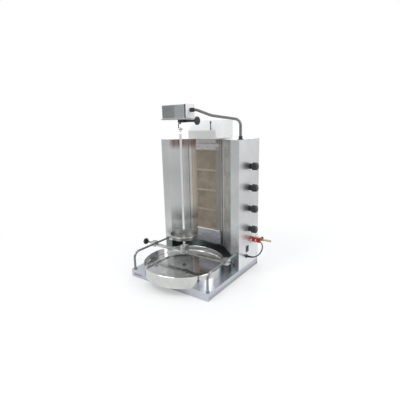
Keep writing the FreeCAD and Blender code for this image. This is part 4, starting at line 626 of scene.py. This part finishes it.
def swept(path, radii, sides=16):
    """Round sleeve along points, with one radius for each point."""
    points, faces = [], []
    side = path[1] - path[0]
    normal = side.orthogonal().normalized()
    count = len(path)
    for number, point in enumerate(path):
        ahead = path[min(number + 1, count - 1)] - path[max(number - 1, 0)]
        tangent = ahead.normalized()
        normal = (normal - tangent * normal.dot(tangent)).normalized()
        across = tangent.cross(normal)
        for step in range(sides):
            angle = 2 * math.pi * step / sides
            points.append(point + (normal * math.cos(angle) + across * math.sin(angle)) * radii[number])
    for start in range(0, (count - 1) * sides, sides):
        for step in range(sides):
            after = (step + 1) % sides
            faces.append((start + step, start + after, start + sides + after, start + sides + step))
    faces.append(tuple(range(sides))[::-1])
    faces.append(tuple((count - 1) * sides + step for step in range(sides)))
    return points, faces


# ---------------------------------------------------------------- camera

camera_data = bpy.data.cameras.new("camera")
camera_data.lens = 29.48
camera_data.sensor_width = 36
camera_data.clip_start = 0.02
camera = bpy.data.objects.new("camera", camera_data)
bpy.context.scene.collection.objects.link(camera)
right = Vector((0.8152, 0.5787, -0.0230))
above = Vector((-0.1126, 0.1973, 0.9738))
back = Vector((0.5681, -0.7913, 0.2260))
turned = Matrix((right, above, back)).transposed()
camera.matrix_world = Matrix.Translation((1.0195, -1.3733, 0.7974)) @ turned.to_4x4()
bpy.context.scene.camera = camera
bpy.context.scene.view_settings.view_transform = "Standard"

# ---------------------------------------------------------------- mains lead

LEAD_RADIUS = 0.00325
LEAD_ROUTE = (
    (0.264, 0.115, 0.096),
    (0.287, 0.115, 0.096),
    (0.306, 0.123, 0.1025),
    (0.317, 0.14, 0.113),
    (0.318, 0.1615, 0.124),
    (0.312, 0.185, 0.132),
    (0.2995, 0.21, 0.1365),
    (0.283, 0.236, 0.137),
    (0.261, 0.261, 0.1315),
    (0.232, 0.272, 0.12),
    (0.205, 0.269, 0.102),
    (0.189, 0.264, 0.077),
    (0.188, 0.263, 0.052),
    (0.179, 0.266, 0.029),
    (0.1615, 0.2705, 0.0125),
    (0.139, 0.2745, LEAD_RADIUS),
    (0.115, 0.2745, LEAD_RADIUS),
)
COIL_CENTRE = Vector((0.085, 0.31675, 0.0))
COIL_TURNS = (0.04225, 0.03575, 0.02925, 0.02925, 0.03575, 0.04225)
POINTS_A_TURN = 16
STEP_SHARE = 0.25


def coil_points():
    """The stored turns: three beside each other on the floor, then three back out on top of them."""
    swell = 1 / math.cos(math.pi / POINTS_A_TURN)
    made = []
    last = len(COIL_TURNS) - 1
    for turn, radius in enumerate(COIL_TURNS):
        after = COIL_TURNS[min(turn + 1, last)]
        low = LEAD_RADIUS * (1 if turn < 3 else 3)
        high = LEAD_RADIUS * (1 if turn + 1 < 3 else 3)
        for step in range(POINTS_A_TURN):
            share = step / POINTS_A_TURN
            move = max(0.0, (share - 1 + STEP_SHARE) / STEP_SHARE)
            angle = -math.pi / 2 - 2 * math.pi * share
            reach = (radius + (after - radius) * move) * swell
            height = low + (high - low) * move
            made.append(COIL_CENTRE + Vector((reach * math.cos(angle), reach * math.sin(angle), height)))
    return made


def nurbs_curve(name, points):
    curve = bpy.data.curves.new(name, "CURVE")
    curve.dimensions = "3D"
    curve.resolution_u = 8
    spline = curve.splines.new("NURBS")
    spline.points.add(len(points) - 1)
    for target, point in zip(spline.points, points):
        target.co = (*point, 1.0)
    spline.order_u = 3
    spline.use_endpoint_u = True
    made = bpy.data.objects.new(name, curve)
    bpy.context.scene.collection.objects.link(made)
    return made


def centreline(owner):
    """Points along a curve's own line."""
    flat = bpy.data.meshes.new_from_object(owner)
    points = [vertex.co.copy() for vertex in flat.vertices]
    bpy.data.meshes.remove(flat)
    return points


plug_end = Vector((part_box("mains_plug")[1].x, COIL_CENTRE.y - COIL_TURNS[0], 0.0185))
coil_exit = COIL_CENTRE + Vector((0, -COIL_TURNS[-1], 3 * LEAD_RADIUS))
tail = [coil_exit, coil_exit + Vector((-0.018, 0, 0.0012)), plug_end + Vector((0.018, 0, -0.001)), plug_end]
lead = nurbs_curve("mains_lead", [Vector(point) for point in LEAD_ROUTE] + coil_points() + tail)
lead_line = centreline(lead)
lead.data.bevel_depth = LEAD_RADIUS
lead.data.bevel_resolution = 5
lead.data.use_fill_caps = True
lead.data.materials.append(RUBBER)
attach(lead, "cabinet")
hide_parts("power_cable", "cable_coil")


def make_bend_relief():
    """Ribbed rubber sleeve that tapers along the first stretch of the lead."""
    start = Vector((0.2585, 0.115, 0.096))
    length, ribs = 0.034, 9
    run = [start] + lead_line
    path, radii = [], []
    travelled, number = 0.0, 0
    steps = ribs * 4
    for step in range(steps + 1):
        wanted = length * step / steps
        while number < len(run) - 2 and travelled + (run[number + 1] - run[number]).length < wanted:
            travelled += (run[number + 1] - run[number]).length
            number += 1
        piece = run[number + 1] - run[number]
        path.append(run[number] + piece.normalized() * (wanted - travelled))
        taper = 0.0061 + (0.0038 - 0.0061) * step / steps
        radii.append(taper if step % 4 in (1, 2) or step == steps else taper - 0.0006)
    mesh = combined("bend_relief", [swept(path, radii, 20)])
    return add_piece("bend_relief", mesh, RUBBER, "cabinet", True)


def make_coil_tie():
    """Strap round the stored turns on the side away from the cabinet."""
    middle = COIL_CENTRE + Vector((0, sum(COIL_TURNS[:3]) / 3, 2 * LEAD_RADIUS))
    half_wide, half_tall, skin, wide = 0.0101, 0.00645, 0.0009, 0.0045
    loop = []
    for step in range(40):
        angle = 2 * math.pi * step / 40
        across = abs(math.cos(angle)) ** 0.45 * math.copysign(1, math.cos(angle))
        along = abs(math.sin(angle)) ** 0.45 * math.copysign(1, math.sin(angle))
        loop.append((across, along))
    points, faces = [], []
    for across, along in loop:
        for grow, side in ((0, -wide), (skin, -wide), (skin, wide), (0, wide)):
            height = max(0.0002, middle.z + along * (half_tall + grow))
            points.append(Vector((middle.x + side, middle.y + across * (half_wide + grow), height)))
    count = len(loop)
    for number in range(count):
        following = (number + 1) % count
        for row in range(4):
            below = (row + 1) % 4
            faces.append((number * 4 + row, following * 4 + row, following * 4 + below, number * 4 + below))
    buckle = block(
        middle + Vector((-0.0055, -0.004, half_tall)),
        middle + Vector((0.0055, 0.004, half_tall + 0.0028)),
        0.0008,
    )
    mesh = combined("coil_tie", [(points, faces), buckle])
    return add_piece("coil_tie", mesh, NYLON, "cabinet", False)


bend_relief = make_bend_relief()
coil_tie = make_coil_tie()

# ---------------------------------------------------------------- details on the cabinet


def perforated_sheet(corner, across, height, pitch, share):
    """Mesh of a flat sheet with rows of round holes, from one lower corner along `across` and up."""
    wide = across.length
    columns = max(1, round(wide / pitch))
    rows = round(height / pitch)
    step_across = across / columns
    step_up = UP * height / rows
    sides = 12
    work = bmesh.new()
    for column in range(columns):
        for row in range(rows):
            centre = corner + step_across * (column + 0.5) + step_up * (row + 0.5)
            ring, rim = [], []
            for step in range(sides):
                angle = 2 * math.pi * (step + 0.5) / sides
                flat, tall = math.cos(angle), math.sin(angle)
                ring.append(work.verts.new(centre + (step_across * flat + step_up * tall) * share))
                stretch = 0.5 / max(abs(flat), abs(tall))
                rim.append(work.verts.new(centre + step_across * flat * stretch + step_up * tall * stretch))
            for step in range(sides):
                after = (step + 1) % sides
                work.faces.new((ring[step], rim[step], rim[after], ring[after]))
    bmesh.ops.remove_doubles(work, verts=work.verts, dist=0.00001)
    bmesh.ops.recalc_face_normals(work, faces=work.faces)
    mesh = bpy.data.meshes.new("perforated_sheet")
    work.to_mesh(mesh)
    work.free()
    return mesh


def give_thickness(piece, thickness, front):
    """Thickens a sheet away from its `front` side."""
    thick = piece.modifiers.new("thickness", "SOLIDIFY")
    thick.thickness = thickness
    thick.offset = -1.0 if piece.data.polygons[0].normal.dot(front) > 0 else 1.0


def make_flash_strip():
    """Perforated strip beside the burners up to the header, and its folded lip on the wing's edge."""
    low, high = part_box("flash_strip")
    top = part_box("header_panel")[1].z - 0.001
    corner = Vector((low.x, low.y - 0.0022, low.z))
    mesh = perforated_sheet(corner, Vector((high.x - low.x, 0, 0)), top - low.z, HOLE_PITCH, HOLE_SHARE)
    strip = add_piece("perforated_strip", mesh, STRIP, "cabinet", False)
    give_thickness(strip, 0.0010, Vector((0, -1, 0)))
    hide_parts("flash_strip")

    inner, outer = Vector((0.0785, 0.1290, low.z)), Vector((0.1145, 0.1085, low.z))
    along = (outer - inner).normalized()
    front = Vector((along.y, -along.x, 0))
    lift = front * 0.0009
    mesh = perforated_sheet(inner + lift, along * LIP_WIDTH, top - low.z, HOLE_PITCH, HOLE_SHARE)
    lip = add_piece("perforated_lip", mesh, STRIP, "cabinet", False)
    give_thickness(lip, 0.0008, front)
    trim = [inner + along * LIP_WIDTH, inner + along * (LIP_WIDTH + 0.008)]
    points = []
    for z in (low.z, top):
        for end in trim:
            for out in (0.0002, 0.0020):
                points.append(Vector((end.x, end.y, z)) + front * out)
    faces = [(0, 1, 3, 2), (4, 6, 7, 5), (0, 2, 6, 4), (1, 5, 7, 3), (0, 4, 5, 1), (2, 3, 7, 6)]
    mesh = combined("lip_trim", [(points, faces)])
    add_piece("lip_trim", mesh, TRIM, "cabinet", False)


def make_burner_clips():
    """Bent clips and seams that hold each plaque in its burner frame."""
    parts = []
    low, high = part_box("ceramic_tiles")
    tall = (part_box("burner_bodies")[1].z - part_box("burner_bodies")[0].z) / 4
    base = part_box("burner_bodies")[0].z
    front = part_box("burner_bodies")[0].y
    for number in range(4):
        for across in (0.2, 0.8):
            x = low.x + (high.x - low.x) * across
            for z in (base + number * tall + 0.0035, base + (number + 1) * tall - 0.0035):
                near = (x - 0.006, front - 0.0008, z - 0.0045)
                far = (x + 0.006, front + 0.0004, z + 0.0045)
                parts.append(block(near, far, 0.0003))
    mesh = combined("plaque_clips", parts)
    add_piece("plaque_clips", mesh, BURNER, "cabinet", False)


def make_panel_details():
    """Screws on the front faces, header and flanges, and the weld beads of the rails."""
    heads = []
    for sign in (-1, 1):
        for z in (0.200, 0.420, 0.640):
            heads += button_head((sign * 0.2415, 0.033, z), (0, -1, 0), 0.0032, 0.0015, z * 9)
    for x in (-0.06, 0.06):
        heads += button_head((x, 0.130, 0.7045), (0, -1, 0), 0.0028, 0.0013, x * 30)
        heads += button_head((x, 0.130, 0.160), (0, -1, 0), 0.0028, 0.0013, x * 10)
    for sign in (-1, 1):
        for y in (-0.200, 0.0, 0.200):
            heads += button_head((sign * 0.250, y, 0.030), (sign, 0, 0), 0.0030, 0.0014, y * 7)
    for x in (-0.120, 0.120):
        heads += button_head((x, -0.2535, 0.020), (0, -1, 0), 0.0030, 0.0014, x * 9)
    mesh = combined("small_screws", heads)
    add_piece("small_screws", mesh, SCREW, "cabinet", False)

    rings = []
    for sign in (-1, 1):
        foot = Vector((sign * RAIL_X, -0.240, 0.043))
        head = Vector((sign * RAIL_X, 0.030, BAR_MIDDLE))
        rings.append(lathe(bead_profile(0.0058, 0.0018), foot, (0, 0, 1), 28))
        rings.append(lathe(bead_profile(0.0058, 0.0018), head, (0, -1, 0), 28))
    mesh = combined("rail_welds", rings)
    add_piece("rail_welds", mesh, RAIL, "cabinet", True)


def bead_profile(radius, size):
    """Fillet ring of a weld round a rod."""
    return [
        (radius, -size * 0.2),
        (radius + size * 1.3, -size * 0.2),
        (radius + size, size * 0.5),
        (radius + size * 0.5, size),
        (radius, size * 1.2),
    ]


def make_hood_details():
    """Rivets along the foot of the hood."""
    low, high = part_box("flue_hood")
    head = [(0, 0), (0.003, 0), (0.0026, 0.0009), (0.0014, 0.0015), (0, 0.0016)]
    heads = []
    for sign, x in ((-1, low.x), (1, high.x)):
        for y in (low.y + 0.012, (low.y + high.y) / 2, high.y - 0.012):
            heads.append(lathe(head, (x, y, low.z + 0.008), (sign, 0, 0), 16))
    mesh = combined("hood_rivets", heads)
    add_piece("hood_rivets", mesh, SCREW, "cabinet", True)


def make_case_details():
    """Gasket, louvres, cover screws and flange screws of the motor case."""
    low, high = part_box("motor_case")
    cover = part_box("motor_end_cover")[0].x
    seam = high.x
    proud = 0.0006
    wall = 0.0001
    front, rear, top = low.y - proud, high.y + proud, high.z + proud
    outer = [(front, low.z), (rear, low.z), (rear, top), (front, top)]
    front, rear, base, top = low.y + wall, high.y - wall, low.z + wall, high.z - wall
    inner = [(front, base), (rear, base), (rear, top), (front, top)]
    points, faces = [], []
    for x in (seam - 0.0045, cover + 0.0005):
        for y, z in outer + inner:
            points.append(Vector((x, y, z)))
    for step in range(4):
        after = (step + 1) % 4
        faces.append((step, after, after + 8, step + 8))
        faces.append((step + 4, step + 12, after + 12, after + 4))
        faces.append((step, step + 4, after + 4, after))
        faces.append((step + 8, after + 8, after + 12, step + 12))
    mesh = combined("case_gasket", [(points, faces)])
    add_piece("case_gasket", mesh, RUBBER, "arm", False)

    # Louvre ribs in the darker copy of the case steel, as painted shade in the slits.
    ribs = []
    for row in range(11):
        z = low.z + 0.0052 + row * 0.0052
        for face, side in ((low.y, -1), (high.y, 1)):
            near, far = sorted((face, face + side * 0.0009))
            ribs.append(block((low.x + 0.003, near, z), (low.x + 0.078, far, z + 0.0036), 0.0003))
    mesh = combined("case_ribs", ribs)
    add_piece("case_ribs", mesh, CASE_RIBS_SHADED, "arm", False)

    heads = []
    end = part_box("motor_end_cover")[1].x
    for y in (low.y + 0.007, high.y - 0.007):
        for z in (low.z + 0.007, high.z - 0.007):
            heads += button_head((end, y, z), (1, 0, 0), 0.0028, 0.0014, y * 40 + z)
    flange_low, flange_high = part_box("motor_flange")
    middle = (flange_low.z + flange_high.z) / 2
    for x in (flange_low.x + 0.012, flange_high.x - 0.012):
        for side, y in ((-1, flange_low.y), (1, flange_high.y)):
            heads += button_head((x, y, middle), (0, side, 0), 0.0022, 0.0012, x * 30)
    mesh = combined("case_screws", heads)
    add_piece("case_screws", mesh, SCREW, "arm", False)


def make_knob_marks():
    """White pointer bar on each gas knob and a dial ring of ticks on the panel round it."""
    for number in range(1, 5):
        low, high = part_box("gas_knob_%d" % number)
        centre = (low + high) / 2
        face = Vector((high.x, centre.y, centre.z))
        bar = block(face + Vector((-0.0006, -0.0012, 0.004)), face + Vector((0.0003, 0.0012, 0.0138)), 0.0002)
        near, far = Vector((-0.012, -0.0010, 0.0188)), Vector((-0.005, 0.0010, 0.0204))
        side = block(face + near, face + far, 0.0002)
        mesh = combined("knob_mark_%d" % number, [bar, side])
        add_piece("knob_mark_%d" % number, mesh, WHITE_MARK, "knob_%d" % number, False)

        ticks = []
        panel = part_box("right_side_panel")[1].x
        for step in range(5):
            angle = math.radians(90 + step * 45)
            spin = Matrix.Rotation(angle - math.pi / 2, 3, "X")
            tick, tick_faces = block((0.0, -0.0007, 0.0235), (0.0003, 0.0007, 0.0285), 0.0001)
            ticks.append(([Vector((panel, centre.y, centre.z)) + spin @ point for point in tick], tick_faces))
        mesh = combined("dial_ticks_%d" % number, ticks)
        add_piece("dial_ticks_%d" % number, mesh, NYLON, "cabinet", False)


def make_cock_details():
    """Hexagons of the gas cock, the barbs of its hose tail, and the lever's screw."""
    low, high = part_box("gas_cock")
    y, z = COCK_Y, (low.z + high.z) / 2
    shoulder = [(0.0052, 0), (0.0085, 0), (0.0085, 0.014), (0.0070, 0.0165), (0.0052, 0.0165)]
    parts = [
        hexagon((low.x + 0.0002, y, z), (1, 0, 0), 0.0235, 0.0058, 0.0088),
        hexagon((0.2942, y, z), (1, 0, 0), 0.0225, 0.0058, 0.0088),
        lathe(shoulder, (0.3003, y, z), (1, 0, 0), 28),
    ]
    crest = [(0.0062, 0.0012), (0.0062, 0.0004)]
    barb = [(0.0048, 0.0055), (0.0050, 0.0055), *crest, (0.0052, 0.0), (0.0048, 0.0)]
    for step in range(4):
        parts.append(lathe(barb, (high.x - 0.006 - step * 0.0075, y, z), (1, 0, 0), 28))
    mesh = combined("cock_hexagons", parts)
    add_piece("cock_hexagons", mesh, BRASS, "cabinet", False)

    lever_low, lever_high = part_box("cock_lever")
    x, face = (lever_low.x + lever_high.x) / 2, lever_low.y
    forward = (0, -1, 0)
    stud = [(0, 0), (0.0021, 0), (0.0021, 0.0045), (0.0016, 0.0052), (0, 0.0052)]
    nut = [hexagon((x, face, z), forward, 0.0085, 0.0032, 0.0015), lathe(stud, (x, face, z), forward, 20)]
    mesh = combined("lever_nut", nut)
    add_piece("lever_nut", mesh, SCREW, "lever", False)

    cap = [
        (0, 0), (0.0042, 0), (0.0042, 0.006), (0.0050, 0.0068),
        (0.0050, 0.0125), (0.0040, 0.0135), (0, 0.0135),
    ]
    mesh = combined("test_cap", [lathe(cap, (0.3085, y, z + 0.0030), UP, 24)])
    add_piece("test_cap", mesh, DARK, "cabinet", True)


def make_carriage_details():
    """Set screws, weld beads and stud nuts of the spit carriage."""
    low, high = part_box("foot_block")
    heads = []
    for x in (low.x + 0.010, high.x - 0.010):
        heads.append(socket_head((x, BAR_Y, high.z), UP, 0.0042, 0.0032))
    mesh = combined("foot_screws", heads)
    add_piece("foot_screws", mesh, SCREW, "foot", False)

    parts = []
    block_low, block_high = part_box("clamp_blocks")
    for sign, outer in ((-1, block_low.x), (1, block_high.x)):
        parts.append(hexagon((outer, BAR_Y, BAR_MIDDLE), (sign, 0, 0), 0.013, 0.005, 0.0045))
    mesh = combined("stud_nuts", parts)
    add_piece("stud_nuts", mesh, SCREW, "carriage", False)

    welds = []
    for sign in (-1, 1):
        x = sign * 0.225
        for y in (-0.091, -0.065):
            line = [Vector((x - sign * 0.0012, y, 0.1255)), Vector((x - sign * 0.0012, y, 0.1325))]
            welds.append(swept(line, [0.0012, 0.0012], 8))
    mesh = combined("bar_welds", welds)
    add_piece("bar_welds", mesh, BAR, "carriage", True)


def socket_head(centre, axis, radius, rise):
    """Cap screw head with a hexagon socket."""
    profile = [
        (0, 0), (radius, 0), (radius, rise * 0.85), (radius * 0.93, rise),
        (radius * 0.55, rise), (radius * 0.50, rise * 0.45), (0, rise * 0.45),
    ]
    return lathe(profile, centre, axis, 24)


def make_switch_marks():
    """Generic on and off marks on the rocker."""
    tilt = Matrix.Rotation(math.radians(-8), 3, "Y")
    pivot = Vector((0.247, 0.1255, 0.134))
    bar, bar_faces = block((0.0033, -0.0005, 0.0050), (0.0037, 0.0005, 0.0088), 0.0001)
    circle = [(0.0014, 0.0), (0.0020, 0.0), (0.0020, 0.0004), (0.0014, 0.0004)]
    ring, ring_faces = lathe(circle, (0.0034, 0, -0.0070), (1, 0, 0), 20)
    parts = []
    for side, points, faces in ((1, bar, bar_faces), (-1, ring, ring_faces)):
        lean = Matrix.Rotation(math.radians(side * 10.5), 3, "Y")
        root = Vector((0.0032, 0, side * 0.007))
        seat = Vector((0.0034, 0, side * 0.007))
        parts.append(([pivot + tilt @ (lean @ (point - root) + seat) for point in points], faces))
    mesh = combined("rocker_marks", parts)
    add_piece("rocker_marks", mesh, WHITE_MARK, "rocker", False)


make_flash_strip()
make_burner_clips()
make_panel_details()
make_hood_details()
make_case_details()
make_knob_marks()
make_cock_details()
make_carriage_details()
make_switch_marks()

soften(0.0006, "foot_block", "clamp_blocks", "cross_bar", "lock_bar", "motor_flange", "switch_body")
soften(0.0008, "motor_case", "flue_hood", "base_tray")

# ---------------------------------------------------------------- stage and light

FLOOR_HALF = 60
corners = [(x, y, 0) for x, y in ((-1, -1), (1, -1), (1, 1), (-1, 1))]
corners = [(x * FLOOR_HALF, y * FLOOR_HALF, z) for x, y, z in corners]
floor = bpy.data.objects.new("floor", mesh_of("floor", corners, [(0, 1, 2, 3)]))
floor.data.materials.append(pale_floor())
bpy.context.scene.collection.objects.link(floor)


def area_light(name, place, target, size, power):
    light = bpy.data.lights.new(name, "AREA")
    light.shape = "RECTANGLE"
    light.size, light.size_y = size
    light.energy = power
    lamp = bpy.data.objects.new(name, light)
    bpy.context.scene.collection.objects.link(lamp)
    lamp.location = place
    lamp.rotation_mode = "QUATERNION"
    lamp.rotation_quaternion = (Vector(target) - Vector(place)).to_track_quat("-Z", "Y")


area_light("key", (-0.9, -1.8, 2.3), (0, 0, 0.4), (1.6, 1.6), 26)
area_light("side", (2.2, 0.6, 1.7), (0, 0, 0.4), (1.2, 1.8), 16)
area_light("back", (-1.2, 2.2, 1.9), (0, 0, 0.5), (1.6, 1.6), 12)
Backdrop()
